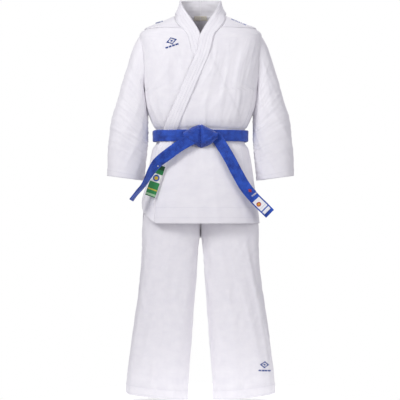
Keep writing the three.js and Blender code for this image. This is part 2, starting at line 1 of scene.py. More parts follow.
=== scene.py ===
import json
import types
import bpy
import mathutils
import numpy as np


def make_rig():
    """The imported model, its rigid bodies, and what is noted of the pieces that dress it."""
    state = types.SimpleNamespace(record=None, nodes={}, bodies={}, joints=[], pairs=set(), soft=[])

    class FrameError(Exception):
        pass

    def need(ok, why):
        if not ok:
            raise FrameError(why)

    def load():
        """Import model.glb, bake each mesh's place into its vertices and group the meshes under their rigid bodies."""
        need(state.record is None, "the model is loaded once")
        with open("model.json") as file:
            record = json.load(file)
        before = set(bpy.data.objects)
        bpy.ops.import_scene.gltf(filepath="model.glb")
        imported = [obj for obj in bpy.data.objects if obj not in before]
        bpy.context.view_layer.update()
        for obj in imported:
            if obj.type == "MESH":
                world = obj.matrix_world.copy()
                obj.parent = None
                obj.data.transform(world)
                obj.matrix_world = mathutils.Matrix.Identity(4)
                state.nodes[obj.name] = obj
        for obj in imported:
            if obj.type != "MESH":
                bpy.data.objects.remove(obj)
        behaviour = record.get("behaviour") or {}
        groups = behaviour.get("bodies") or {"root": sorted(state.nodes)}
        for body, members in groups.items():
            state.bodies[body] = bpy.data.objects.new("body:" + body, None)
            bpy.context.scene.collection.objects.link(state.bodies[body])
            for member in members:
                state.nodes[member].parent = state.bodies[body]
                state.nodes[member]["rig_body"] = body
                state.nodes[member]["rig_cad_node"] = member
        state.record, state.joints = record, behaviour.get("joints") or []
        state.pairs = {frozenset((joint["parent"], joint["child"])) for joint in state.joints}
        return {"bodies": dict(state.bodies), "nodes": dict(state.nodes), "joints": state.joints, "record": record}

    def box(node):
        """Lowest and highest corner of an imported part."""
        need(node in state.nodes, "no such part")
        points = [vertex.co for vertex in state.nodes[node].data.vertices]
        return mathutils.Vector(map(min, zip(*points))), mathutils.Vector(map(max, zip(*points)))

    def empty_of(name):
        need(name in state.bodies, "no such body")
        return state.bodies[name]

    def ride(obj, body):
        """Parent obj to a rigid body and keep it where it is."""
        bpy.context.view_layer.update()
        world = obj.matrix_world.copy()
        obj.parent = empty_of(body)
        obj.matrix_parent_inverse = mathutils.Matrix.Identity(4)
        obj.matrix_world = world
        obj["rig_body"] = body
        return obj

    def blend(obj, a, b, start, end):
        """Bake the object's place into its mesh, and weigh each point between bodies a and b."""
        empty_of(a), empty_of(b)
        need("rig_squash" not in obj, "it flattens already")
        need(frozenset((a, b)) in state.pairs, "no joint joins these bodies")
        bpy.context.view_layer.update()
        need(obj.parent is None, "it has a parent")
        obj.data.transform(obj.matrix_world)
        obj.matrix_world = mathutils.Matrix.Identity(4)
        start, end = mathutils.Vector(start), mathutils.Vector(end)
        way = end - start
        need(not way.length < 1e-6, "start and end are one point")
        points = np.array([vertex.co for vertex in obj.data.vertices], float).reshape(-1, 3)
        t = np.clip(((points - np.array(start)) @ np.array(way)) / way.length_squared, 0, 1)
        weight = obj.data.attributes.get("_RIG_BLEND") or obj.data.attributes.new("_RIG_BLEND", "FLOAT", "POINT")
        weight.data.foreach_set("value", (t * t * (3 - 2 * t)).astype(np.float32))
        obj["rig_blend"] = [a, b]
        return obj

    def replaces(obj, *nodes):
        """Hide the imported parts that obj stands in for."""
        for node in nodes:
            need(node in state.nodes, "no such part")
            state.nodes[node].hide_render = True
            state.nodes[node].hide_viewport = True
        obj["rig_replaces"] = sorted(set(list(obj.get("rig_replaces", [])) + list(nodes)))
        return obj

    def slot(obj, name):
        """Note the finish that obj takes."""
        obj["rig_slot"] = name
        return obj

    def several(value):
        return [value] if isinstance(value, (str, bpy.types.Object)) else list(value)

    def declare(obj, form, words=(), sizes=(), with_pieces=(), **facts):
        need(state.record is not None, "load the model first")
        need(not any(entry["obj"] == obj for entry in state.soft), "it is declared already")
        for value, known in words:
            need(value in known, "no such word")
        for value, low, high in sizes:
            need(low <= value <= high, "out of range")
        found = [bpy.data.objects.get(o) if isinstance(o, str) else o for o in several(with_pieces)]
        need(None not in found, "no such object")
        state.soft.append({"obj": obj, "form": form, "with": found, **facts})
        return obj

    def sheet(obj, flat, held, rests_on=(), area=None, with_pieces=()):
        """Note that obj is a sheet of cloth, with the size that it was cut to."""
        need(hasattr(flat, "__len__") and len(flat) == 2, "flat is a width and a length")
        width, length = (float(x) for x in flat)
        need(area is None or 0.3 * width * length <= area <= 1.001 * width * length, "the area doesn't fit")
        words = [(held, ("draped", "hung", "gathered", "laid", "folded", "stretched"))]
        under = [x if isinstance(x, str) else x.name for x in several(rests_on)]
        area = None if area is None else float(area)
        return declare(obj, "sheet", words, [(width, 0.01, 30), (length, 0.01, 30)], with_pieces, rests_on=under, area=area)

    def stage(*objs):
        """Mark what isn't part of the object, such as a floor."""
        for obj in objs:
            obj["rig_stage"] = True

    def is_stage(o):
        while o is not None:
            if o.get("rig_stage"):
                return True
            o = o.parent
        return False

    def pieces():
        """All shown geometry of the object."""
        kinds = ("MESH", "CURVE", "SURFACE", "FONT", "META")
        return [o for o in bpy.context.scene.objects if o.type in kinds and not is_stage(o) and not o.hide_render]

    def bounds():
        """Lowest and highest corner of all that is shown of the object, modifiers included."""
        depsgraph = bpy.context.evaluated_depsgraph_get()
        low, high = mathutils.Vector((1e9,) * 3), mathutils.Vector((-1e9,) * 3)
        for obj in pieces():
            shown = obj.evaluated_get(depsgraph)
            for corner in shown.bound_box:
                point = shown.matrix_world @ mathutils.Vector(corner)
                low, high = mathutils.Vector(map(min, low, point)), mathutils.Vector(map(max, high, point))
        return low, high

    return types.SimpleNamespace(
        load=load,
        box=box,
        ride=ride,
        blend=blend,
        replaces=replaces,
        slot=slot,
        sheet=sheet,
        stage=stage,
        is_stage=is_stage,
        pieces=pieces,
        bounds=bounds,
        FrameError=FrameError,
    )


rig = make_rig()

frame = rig.load()
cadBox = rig.bounds()
import json
import math

import bmesh
import bpy
import numpy as np
from mathutils import Matrix, Vector

print("frame loaded")

# Lengths below are in millimetres, and become metres where a mesh is made.
toMetres = 0.001


def nodeBox(name):
    low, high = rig.box(name)
    return low / toMetres, high / toMetres


def lerp(a, b, share):
    return a + (b - a) * share


def smooth(low, high, value):
    share = np.clip((value - low) / (high - low), 0, 1)
    return share * share * (3 - 2 * share)


def bump(value, centre, halfWidth):
    return np.exp(-(((value - centre) / halfWidth) ** 2))


# The distance gone at each point of a line, from its first one.
def travelAlong(line):
    return np.concatenate([[0], np.cumsum(np.linalg.norm(np.diff(line, axis=0), axis=1))])


# How far the outline of a rounded box reaches, in the direction with these two parts.
def roundedReach(across, ahead, power):
    return (np.abs(across) ** power + np.abs(ahead) ** power) ** (-1 / power)


sideNames = {1: "left", -1: "right"}


# A smooth curve through rows of (position, value), level at each turn.
def curveThrough(rows):
    rows = sorted(rows)
    places = [float(row[0]) for row in rows]
    values = [float(row[1]) for row in rows]
    slopes = [0.0] * len(rows)
    for i in range(1, len(rows) - 1):
        before = (values[i] - values[i - 1]) / (places[i] - places[i - 1])
        after = (values[i + 1] - values[i]) / (places[i + 1] - places[i])
        if before * after > 0:
            slopes[i] = (values[i + 1] - values[i - 1]) / (places[i + 1] - places[i - 1])
    samples = np.linspace(places[0], places[-1], 1500)
    found = np.empty_like(samples)
    for k, place in enumerate(samples):
        i = min(max(np.searchsorted(places, place) - 1, 0), len(rows) - 2)
        span = places[i + 1] - places[i]
        t = (place - places[i]) / span
        found[k] = (
            (2 * t**3 - 3 * t**2 + 1) * values[i]
            + (t**3 - 2 * t**2 + t) * span * slopes[i]
            + (3 * t**2 - 2 * t**3) * values[i + 1]
            + (t**3 - t**2) * span * slopes[i + 1]
        )
    return lambda place: np.interp(place, samples, found)


# The body that the cloth is shaped on

beltLow, beltHigh = nodeBox("belt_wrap_outer")
beltZ = (beltLow.z + beltHigh.z) / 2
beltHalf = (beltHigh.z - beltLow.z) / 2
hemZ = nodeBox("back_panel_left")[0].z
collarZ = nodeBox("lapel_band_over")[1].z
yokeZ = nodeBox("shoulder_yoke_left")[0].z
legEndZ = nodeBox("leg_hem_left")[0].z
crotchZ = -820
neckZ = collarZ - 70
shoulderZ = -60
slitZ = hemZ + 92

bodySize = {
    "neck": (95, 76),
    "shoulder": (229, 112),
    "chest": (211, 122),
    "waist": (164, 94),
    "skirt": (216, 129),
    "sleeveDepth": 66,
}
neckWidth, neckDepth = bodySize["neck"]
shoulderWidth, shoulderDepth = bodySize["shoulder"]
chestDepth = bodySize["chest"][1]
waistWidth, waistDepth = bodySize["waist"]
skirtWidth, skirtDepth = bodySize["skirt"]
beltTop = beltZ + beltHalf + 3
beltBottom = beltZ - beltHalf - 3

widthAt = curveThrough([
    (collarZ, 0.74 * neckWidth), (neckZ, neckWidth),
    (lerp(neckZ, shoulderZ, 0.22), lerp(neckWidth, shoulderWidth, 0.24)),
    (lerp(neckZ, shoulderZ, 0.68), lerp(neckWidth, shoulderWidth, 0.84)),
    (shoulderZ, shoulderWidth), (-155, 222), (-268, 213), (-330, 204),
    (beltZ + 60, waistWidth + 22), (beltTop + 8, waistWidth + 8), (beltTop, waistWidth),
    (beltBottom, waistWidth), (beltBottom - 26, waistWidth + 16),
    (lerp(beltZ, hemZ, 0.55), lerp(waistWidth, skirtWidth, 0.72)), (hemZ, skirtWidth + 4),
    (crotchZ - 30, skirtWidth + 12),
])
depthAt = curveThrough([
    (collarZ, 0.78 * neckDepth), (neckZ, neckDepth),
    (lerp(neckZ, shoulderZ, 0.22), neckDepth + 7), (shoulderZ, shoulderDepth),
    (-297, chestDepth), (beltZ + 60, waistDepth + 22), (beltTop + 8, waistDepth + 10),
    (beltTop, waistDepth), (beltBottom, waistDepth), (beltBottom - 26, waistDepth + 10),
    (lerp(beltZ, hemZ, 0.55), lerp(waistDepth, skirtDepth, 0.72)), (hemZ, skirtDepth),
    (crotchZ - 30, skirtDepth - 14),
])
centreAt = curveThrough([(collarZ, 10), (neckZ, 8), (shoulderZ, 2), (-297, 0), (crotchZ, 0)])
powerAt = curveThrough([
    (collarZ, 2.2), (neckZ, 2.2), (shoulderZ, 2.8), (-180, 3.3), (-300, 3.0),
    (beltZ, 2.5), (hemZ, 2.6), (crotchZ, 2.6),
])


# angle 0 is the front centre and grows towards +X, or towards -X where side is -1;
# layer is the distance outside the body.
def bodyPoint(angle, z, layer=0.0, side=1):
    across, ahead = np.sin(angle), np.cos(angle)
    reach = roundedReach(across, ahead, powerAt(z))
    x = side * (widthAt(z) + layer) * across * reach
    y = centreAt(z) - (depthAt(z) + layer) * ahead * reach
    return np.stack(np.broadcast_arrays(x, y, z + 0.0 * x), axis=-1)


def angleAt(x, z):
    power = powerAt(z)
    share = np.clip(np.abs(x) / widthAt(z), 0, 0.9995) ** power
    return np.sign(x) * np.arctan((share / (1 - share)) ** (1 / power))


def angleAtDepth(y, z):
    power = powerAt(z)
    share = np.clip(np.abs(y) / depthAt(z), 0, 0.9995) ** power
    return np.arctan(((1 - share) / np.maximum(share, 1e-9)) ** (1 / power))


# Cloth: a grid laid on a surface, with folds along its normal

def wrapped(values):
    return np.concatenate([values[:, -2:-1], values, values[:, 1:2]], axis=1)


def surfaceNormals(points, isTube):
    if isTube:
        alongU = np.gradient(wrapped(points), axis=1)[:, 1:-1]
    else:
        alongU = np.gradient(points, axis=1)
    normals = np.cross(alongU, np.gradient(points, axis=0))
    return normals / np.maximum(np.linalg.norm(normals, axis=-1, keepdims=True), 1e-9)


# place(u, v) gives points, folds(u, v, points) a height, outward(points) which way is out.
def clothPoints(columns, rows, place, folds, outward, isTube):
    u, v = np.meshgrid(np.linspace(0, 1, columns + 1), np.linspace(0, 1, rows + 1))
    points = place(u, v)
    normals = surfaceNormals(points, isTube)
    side = np.sign(np.sum(normals * outward(points)))
    normals = normals * side
    if folds is not None:
        points = points + normals * folds(u, v, points)[..., None]
        normals = surfaceNormals(points, isTube) * side
    return points, normals, side


def awayFromAxis(points):
    return points * np.array([1.0, 1.0, 0.0])


def forwardOf(points):
    return points * 0 + np.array([0.0, -1.0, 0.0])


def makeCloth(name, columns, rows, place, material, folds=None, outward=awayFromAxis,
              isTube=False, thickness=1.6, offset=-1.0, drop=None):
    points, normals, side = clothPoints(columns, rows, place, folds, outward, isTube)
    bm = bmesh.new()
    bmesh.ops.create_grid(bm, x_segments=columns, y_segments=rows, size=0.5)
    uvLayer = bm.loops.layers.uv.new("UVMap")
    spread = np.linalg.norm(np.diff(points, axis=1), axis=-1).sum(axis=1).mean() * toMetres
    fall = np.linalg.norm(np.diff(points, axis=0), axis=-1).sum(axis=0).mean() * toMetres
    for face in bm.faces:
        for loop in face.loops:
            u, v = loop.vert.co.x + 0.5, loop.vert.co.y + 0.5
            loop[uvLayer].uv = (u * spread, v * fall)
    for vert in bm.verts:
        column = round((vert.co.x + 0.5) * columns)
        row = round((vert.co.y + 0.5) * rows)
        vert.co = points[row, column] * toMetres
    if drop is not None:
        unwanted = [face for face in bm.faces if drop(face.calc_center_median() / toMetres)]
        bmesh.ops.delete(bm, geom=unwanted, context="FACES")
    if isTube:
        bmesh.ops.remove_doubles(bm, verts=bm.verts, dist=0.02 * toMetres)
    if side < 0:
        bmesh.ops.reverse_faces(bm, faces=bm.faces)
    piece = finishMesh(name, bm, material)
    if thickness:
        wall = piece.modifiers.new("cloth thickness", "SOLIDIFY")
        wall.thickness = thickness * toMetres
        wall.offset = offset
        wall.use_even_offset = False
    return piece, points, normals


def finishMesh(name, bm, material, isSmooth=True):
    mesh = bpy.data.meshes.new(name)
    bm.to_mesh(mesh)
    bm.free()
    for polygon in mesh.polygons:
        polygon.use_smooth = isSmooth
    mesh.materials.append(material)
    piece = bpy.data.objects.new(name, mesh)
    bpy.context.scene.collection.objects.link(piece)
    return piece


# A rounded piece of thread from one point to another, raised above the surface.
def addThread(bm, start, end, up, width, height, raised, length=None):
    along = Vector(end - start)
    length = length or along.length
    along.normalize()
    up = (up - along * up.dot(along)).normalized()
    across = along.cross(up)
    middle = Vector((start + end) / 2) + up * raised
    turn = Matrix((across, along, up)).transposed().to_4x4()
    size = Matrix.Diagonal((width, length, height, 1))
    place = Matrix.Translation(middle * toMetres) @ turn @ size @ Matrix.Scale(toMetres, 4)
    bmesh.ops.create_icosphere(bm, subdivisions=1, radius=0.5, matrix=place)


# A row of thread stitches along a line on a surface.
def addStitches(bm, line, normals, pitch=7.5, length=5.0, width=1.1, rise=0.35):
    line = np.asarray(line, float)
    travel = travelAlong(line)
    count = int(travel[-1] / pitch)
    for k in range(count):
        centre = (k + 0.5) * pitch
        ends = [np.array([np.interp(centre + d, travel, line[:, axis]) for axis in range(3)])
                for d in (-length / 2, length / 2)]
        up = np.array([np.interp(centre, travel, normals[:, axis]) for axis in range(3)])
        addThread(bm, *ends, Vector(up), width, 0.8 * width, rise, length)


# Each row is made by itself and then joined, which is much quicker than one long list.
def makeStitches(name, lines, material, **sizes):
    whole = bmesh.new()
    for line, normals in lines:
        bm = bmesh.new()
        addStitches(bm, line, normals, **sizes)
        row = bpy.data.meshes.new("row")
        bm.to_mesh(row)
        bm.free()
        whole.from_mesh(row)
        bpy.data.meshes.remove(row)
    return finishMesh(name, whole, material)


# Soft creases: waves of several lengths, bent by longer waves, with rounded tops and tight valleys.
def creases(along, across, seed, size, stretch=3.0, bend=0.6):
    chance = np.random.default_rng(seed)
    s, t = along / (size * stretch), across / size
    warp = np.zeros_like(s)
    for _ in range(3):
        a, b, phase = chance.uniform(-0.6, 0.6), chance.uniform(0.2, 0.6), chance.uniform(0, 6.28)
        warp = warp + np.sin(6.28 * (a * t * 0.5 + b * s) + phase)
    total = np.zeros_like(s)
    for k in range(4):
        turn = chance.uniform(-0.5, 0.5)
        phase = chance.uniform(0, 6.28)
        scale = 0.55 * 1.45**k
        wave = np.sin(6.28 * scale * (t + turn * s) + bend * warp + phase)
        total = total + (1 - np.abs(wave) ** 0.8 * 2) * 0.72**k
    return total / 2.4


# On a tube the creases run into themselves where the grid closes.
def roundTube(u, heightOf):
    mix = smooth(0.8, 1, u)
    return heightOf(u) * (1 - mix) + heightOf(u - 1) * mix


# One fold from one point to another, seen from the front, as (x, z, x, z, half width, height).
def foldLines(points, lines):
    x, z = points[..., 0], points[..., 2]
    total = np.zeros_like(x)
    for x0, z0, x1, z1, halfWidth, height in lines:
        run = math.hypot(x1 - x0, z1 - z0)
        alongX, alongZ = (x1 - x0) / run, (z1 - z0) / run
        share = ((x - x0) * alongX + (z - z0) * alongZ) / run
        aside = (x - x0) * alongZ - (z - z0) * alongX
        fade = smooth(-0.12, 0.25, share) * (1 - smooth(0.7, 1.12, share))
        total = total + height * fade * np.exp(-((aside / halfWidth) ** 2))
    return total


# Materials

# An sRGB hex colour as the linear one that shaders take.
def linear(hexColour):
    channels = [int(hexColour[i : i + 2], 16) / 255 for i in (1, 3, 5)]
    values = [c / 12.92 if c <= 0.04045 else ((c + 0.055) / 1.055) ** 2.4 for c in channels]
    return (*values, 1.0)


# Sets a node's inputs, each to a plain value or to what another node gives.
def setInputs(tree, node, inputs):
    for key, value in inputs.items():
        if isinstance(value, bpy.types.NodeSocket):
            tree.links.new(value, node.inputs[key])
        else:
            node.inputs[key].default_value = value


def addNode(tree, kind, inputs=None, **settings):
    node = tree.nodes.new(kind)
    for key, value in settings.items():
        setattr(node, key, value)
    setInputs(tree, node, inputs or {})
    return node


def addRamp(tree, factor, bands, interpolation="LINEAR"):
    ramp = addNode(tree, "ShaderNodeValToRGB", {"Fac": factor})
    ramp.color_ramp.interpolation = interpolation
    stops = ramp.color_ramp.elements
    while len(stops) < len(bands):
        stops.new(0.5)
    for stop, (start, colour) in zip(stops, bands):
        stop.position = start
        stop.color = colour
    return ramp.outputs["Color"]


def newMaterial(name, **inputs):
    material = bpy.data.materials.new(name)
    material.use_nodes = True
    tree = material.node_tree
    shader = tree.nodes["Principled BSDF"]
    setInputs(tree, shader, {key.replace("_", " "): value for key, value in inputs.items()})
    return material, tree, shader


# Woven cotton: matt, with a soft sheen at grazing angles and threads that catch a little shade.
# The last argument sets how strongly large lighter and darker blotches, painted sheen and shade, change the colour.
def wovenCotton(name, light, dark, threadSpacing, bumpHeight, roughness=0.9, sheen=0.25, paintedSheen=0.0):
    material, tree, shader = newMaterial(name, Roughness=roughness, Sheen_Weight=sheen,
                                         Sheen_Roughness=0.5, Specular_IOR_Level=0.25)
    place = addNode(tree, "ShaderNodeUVMap", uv_map="UVMap").outputs["UV"]
    wavesPerUnit = 3.18  # a wave texture at scale 1 draws this many bands to the metre
    warp, weft = [addNode(tree, "ShaderNodeTexWave", {
        "Vector": place, "Scale": 1 / (threadSpacing * toMetres) / wavesPerUnit, "Distortion": 1.2,
        "Detail": 1.0, "Detail Scale": 2.0}, wave_type="BANDS", bands_direction=way).outputs["Fac"]
        for way in ("X", "Y")]
    weave = addNode(tree, "ShaderNodeMath", {0: warp, 1: weft}, operation="MULTIPLY")
    shade = addNode(tree, "ShaderNodeTexNoise", {
        "Vector": place, "Scale": 26.0, "Detail": 5.0, "Roughness": 0.6}).outputs["Fac"]
    # Large lighter and darker blotches over the cloth: painted sheen and shade.
    if paintedSheen:
        sheenBlotches = addNode(tree, "ShaderNodeTexNoise", {
            "Vector": place, "Scale": 34.0, "Detail": 3.0, "Distortion": 0.8})
        shift = addNode(tree, "ShaderNodeMath", {0: sheenBlotches.outputs["Fac"], 1: paintedSheen, 2: shade},
                        operation="MULTIPLY_ADD")
        lowered = addNode(tree, "ShaderNodeMath", {0: shift.outputs[0], 1: paintedSheen / 2},
                          operation="SUBTRACT")
        shade = lowered.outputs[0]
    mixed = addNode(tree, "ShaderNodeMath", {0: weave.outputs[0], 1: 0.45, 2: shade},
                    operation="MULTIPLY_ADD", use_clamp=True).outputs[0]
    relief = addNode(tree, "ShaderNodeBump", {
        "Height": mixed, "Strength": 0.5, "Distance": bumpHeight * toMetres})
    setInputs(tree, shader, {
        "Base Color": addRamp(tree, mixed, [(0.35, linear(dark)), (0.8, linear(light))]),
        "Normal": relief.outputs["Normal"]})
    return material


# Bleached canvas: a nearly flat, cool white whose plain weave only shows close up. Real canvas has
# about 20 threads to the centimetre; 2.4 mm is drawn so that it shows.
canvas = wovenCotton("bleached cotton canvas, plain woven", "#F5F3F6", "#ECEAEF", 2.4, 0.35)
# The same canvas folded and pressed: smoother and a little brighter.
seamCanvas = wovenCotton("bleached cotton canvas, folded and pressed", "#F7F5F8", "#EFEDF2", 2.4, 0.3)
# Dyed twill over a stiff core: a slight gloss, threads that show, and large lighter and darker blotches that are
# painted sheen and shade.
twill = wovenCotton("dyed cotton twill, woven", "#2C5CCB", "#0B2272", 2.0, 0.45, 0.55, 0.3, 0.45)
# Woven satin: a fine, cream, faintly shiny ground.
satinLabel = wovenCotton("polyester satin label, woven", "#F6F1E2", "#E6DFCB", 1.4, 0.15, 0.5, 0.1)
# Elastic webbing: coarse ribs that stand proud and shade each other.
elasticWeb = wovenCotton("ribbed elastic webbing", "#F2F1F4", "#DEDDE4", 3.0, 0.6)


# Thread: a tight twist that changes tone along its length, with a soft sheen.
def thread(name, colour, roughness=0.55):
    material, tree, shader = newMaterial(name, Roughness=roughness, Sheen_Weight=0.3)
    place = addNode(tree, "ShaderNodeTexCoord").outputs["Object"]
    tint = addNode(tree, "ShaderNodeTexNoise", {"Vector": place, "Scale": 900.0, "Detail": 2.0})
    base = linear(colour)
    shaded = (*[0.72 * c for c in base[:3]], 1)
    colours = addRamp(tree, tint.outputs["Fac"], [(0, shaded), (1, base)])
    setInputs(tree, shader, {"Base Color": colours})
    return material


# Sewing thread is dull; embroidery thread of rayon is glossier and deeper in colour.
whiteThread = thread("polyester sewing thread, white", "#E4E3EC")
blueThread = thread("rayon embroidery thread, blue", "#1F4FA8", 0.4)
redThread = thread("rayon embroidery thread, red", "#B3263C", 0.4)

print("materials made")


# The jacket's crossing edges

vDrop = 62
leadAt = curveThrough([
    (collarZ - 10, 68), (46, 60), (0, 34), (-vDrop, 0), (lerp(-vDrop, slitZ, 0.11), -16),
    (lerp(-vDrop, slitZ, 0.27), -56), (lerp(-vDrop, slitZ, 0.54), -124),
    (lerp(-vDrop, slitZ, 0.77), -168), (slitZ + 10, 8 - skirtWidth), (slitZ - 6, 2 - skirtWidth),
])
bandWidth = 50


def leadX(isOver, z):
    reach = 0 if isOver else 26 * smooth(vDrop, 300, -z)
    hipShare = 0.88 + 0.14 * smooth(0, 60, beltBottom - z)
    widest = (hipShare if isOver else 0.85) * widthAt(z)
    return np.maximum(leadAt(z) - reach, -widest)


def seamX(isOver, z):
    onChest = leadX(isOver, z) + bandWidth * 1.02
    return lerp(onChest, neckWidth - 4, smooth(-70, neckZ, z))


def slitAngle(widest, z):
    return math.radians(widest) * np.clip((slitZ - z) / (slitZ - hemZ), 0, 1)


# How far each layer of the jacket lies outside the body.
layers = {"under": 0.0, "over": 7.0, "side": 3.0}


def frontLayer(isOver, angle, z):
    layer = layers["over"] if isOver else layers["under"]
    parted = (1 - smooth(math.radians(55), math.radians(86), angle)) * (1 - smooth(-50, 10, z))
    return lerp(layers["side"], layer, parted)


# The armhole is an oval in the side of the body; the cloth's edge stands back from it.
armhole = {"top": -58, "bottom": -270}
armholeMiddle = (armhole["top"] + armhole["bottom"]) / 2
armholeHalf = (armhole["top"] - armhole["bottom"]) / 2


def armholeDepth(z):
    share = np.clip(np.abs(z - armholeMiddle) / armholeHalf, 0, 1)
    return bodySize["sleeveDepth"] * np.sqrt(1 - share**2.4)


def sideEdge(z):
    return angleAtDepth(np.maximum(armholeDepth(z), 1e-3), z)


# Rows of the jacket from hem to neck, closest on the slope of the shoulders.
jacketRows, frontColumns, backColumns = 190, 96, 150
rowHeights = np.interp(np.linspace(0, 1, jacketRows + 1), [0, 0.72, 0.8, 1],
                       [hemZ, shoulderZ - 20, shoulderZ + 10, neckZ + 8])


def heightAt(v):
    return np.interp(v, np.linspace(0, 1, jacketRows + 1), rowHeights)


# How far apart the jacket's folds are and how high they stand. Gathers fade over their own reach
# above and below the belt.
bodyRadius = 150
gatherSize = {"pleat": 34, "fine": 17, "aboveReach": 52, "belowReach": 95,
              "above": (5.5, 2.0), "below": (4.0, 1.2)}
longFoldSize = {"flute": 92, "drag": 58, "skirt": 4.2, "chest": 3.4, "everywhere": 1.0}


# Cloth blouses over the belt and is gathered by it, and flares out below.
def gathers(angle, z, seed):
    aboveFade = np.exp(-np.clip(z - beltTop, 0, None) / gatherSize["aboveReach"])
    belowFade = np.exp(-np.clip(beltBottom - z, 0, None) / gatherSize["belowReach"])
    above = aboveFade * smooth(beltTop - 4, beltTop + 16, z)
    below = belowFade * smooth(-beltBottom - 4, -beltBottom + 14, -z)
    perimeter = bodyRadius * angle
    pleats = creases(z, perimeter, seed, gatherSize["pleat"], 6.0, 0.35)
    fine = creases(z, perimeter, seed + 7, gatherSize["fine"], 7.0, 0.3)
    (pleatAbove, fineAbove), (pleatBelow, fineBelow) = gatherSize["above"], gatherSize["below"]
    return (above * (pleatAbove * pleats + fineAbove * fine)
            + below * (pleatBelow * pleats + fineBelow * fine))


# Long folds hang in the skirt, and slanting ones drag across the chest.
def longFolds(angle, z, seed):
    flute = creases(z, bodyRadius * angle, seed + 3, longFoldSize["flute"], 5.5, 0.7)
    drag = creases(z + 90 * angle, bodyRadius * angle - 0.25 * z, seed + 5, longFoldSize["drag"],
                   3.0, 0.9)
    skirt = smooth(-beltBottom, -hemZ, -z)
    chest = smooth(beltTop, -300, z) * (1 - smooth(-160, -40, z))
    return (skirt * longFoldSize["skirt"] * flute + chest * longFoldSize["chest"] * drag
            + longFoldSize["everywhere"] * drag)


jacketHem = 62


# The turned-up hem stands proud of the single cloth above it.
def hemRidge(z, low, height, rise=1.1):
    return rise * (1 - smooth(low + height - 2, low + height + 2, z))


# Single folds of the front on top and of the one beneath, as foldLines takes them.
overFolds = [
    (120, -110, 40, -330, 26, -5.0), (165, -120, 120, -330, 22, 5.0),
    (205, -190, 140, -390, 20, -6.0), (70, -150, -10, -380, 24, 4.5),
    (95, -250, 60, -405, 12, 4.0), (150, -280, 120, -408, 11, 5.0),
    (20, -300, 5, -408, 12, 3.2), (-40, -300, -60, -405, 13, 3.0), (178, -330, 160, -405, 9, 4.0),
    (60, -480, 95, -700, 30, 4.0), (-60, -480, -100, -720, 28, 3.6), (150, -480, 185, -730, 24, -4.0),
    (-10, -490, 0, -700, 26, -3.2),
]
underFolds = [
    (-85, -120, -100, -400, 22, -5.0), (-125, -130, -118, -390, 17, 5.0),
    (-195, -110, -150, -380, 20, -5.5), (-165, -230, -150, -405, 11, 5.0),
    (-60, -150, -75, -390, 20, 4.0), (-178, -320, -165, -405, 8, 4.0),
    (-140, -330, -135, -406, 8, 4.0),
]


# How strong the folds are, as a share of their full height.
foldShare = {"front": 0.55, "back": 0.7, "sleeve": 0.55, "leg": 0.8}


# Folds sink no deeper than the room under the cloth, with a soft stop.
def notBelow(height, lowest):
    return np.logaddexp(height, lowest)


# The lapel that lies underneath shows through as a soft step from one point to another.
lapelBelow = {"top": (31, -127), "bottom": (151, -378), "halfWidth": 7, "height": 3.0}


def stepOverLapel(x, z):
    (x0, z0), (x1, z1) = lapelBelow["top"], lapelBelow["bottom"]
    run = math.hypot(x1 - x0, z1 - z0)
    along = ((x - x0) * (x1 - x0) + (z - z0) * (z1 - z0)) / run**2
    aside = ((x - x0) * (z1 - z0) - (z - z0) * (x1 - x0)) / run
    step = smooth(-lapelBelow["halfWidth"], lapelBelow["halfWidth"], aside)
    ends = smooth(-0.15, 0.1, along) * (1 - smooth(0.9, 1.1, along))
    nearby = smooth(-150, -20, aside) * ends
    fade = np.where(aside > 0, 1 - smooth(30, 110, aside), nearby)
    return lapelBelow["height"] * step * fade * ends


# Cloth lies flatter under the belt and on the shoulders.
def heldFlat(z):
    return 1 - bump(z, beltZ, beltHalf + 2) * 0.9, 1 - 0.7 * smooth(-90, -30, z)


def frontFolds(isOver, angleOf, lines, seed):
    def folds(u, v, points):
        x, z = points[..., 0], points[..., 2]
        angle = angleOf(u, v)
        base = gathers(angle, z, seed) + longFolds(angle, z, seed) + foldLines(points, lines)
        edge = 1 - bump(u, 0, 0.03) * 0.8
        seamPull = 1 - 0.75 * bump(u, 1, 0.07)
        atBelt, shoulder = heldFlat(z)
        height = foldShare["front"] * base * edge * seamPull * atBelt * shoulder
        if isOver:
            return notBelow(height, -3.6) + stepOverLapel(x, z) + hemRidge(z, hemZ, jacketHem)
        covered = smooth(-4, 26, x - leadX(True, z))
        height = notBelow(height, -5) * (1 - 0.9 * covered) - 1.5 * covered
        return height + hemRidge(z, hemZ, jacketHem)
    return folds


def makeFront(isOver):
    side = 1 if isOver else -1
    name = "front_cloth_over" if isOver else "front_cloth_under"
    ownSlit, farSlit = (8, 44) if isOver else (44, 8)

    def angleOf(u, v):
        z = heightAt(v)
        seam = angleAt(seamX(isOver, z) - 7, z)
        slitEdge = -math.pi / 2 + slitAngle(farSlit, z) + math.radians(3)
        edge = np.maximum(seam, slitEdge)
        own = np.minimum(sideEdge(z), math.pi / 2 - slitAngle(ownSlit, z))
        return lerp(own, np.minimum(edge, own - math.radians(3)), u)

    def place(u, v):
        z = heightAt(v)
        angle = angleOf(u, v)
        return bodyPoint(angle, z, frontLayer(isOver, angle, z), side)

    lines = overFolds if isOver else underFolds
    folds = frontFolds(isOver, lambda u, v: side * angleOf(u, v), lines, 11 if isOver else 23)
    cloth, points, normals = makeCloth(name, frontColumns, jacketRows, place, canvas, folds)
    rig.replaces(cloth, "front_panel_over" if isOver else "front_panel_under")
    return cloth, points, normals


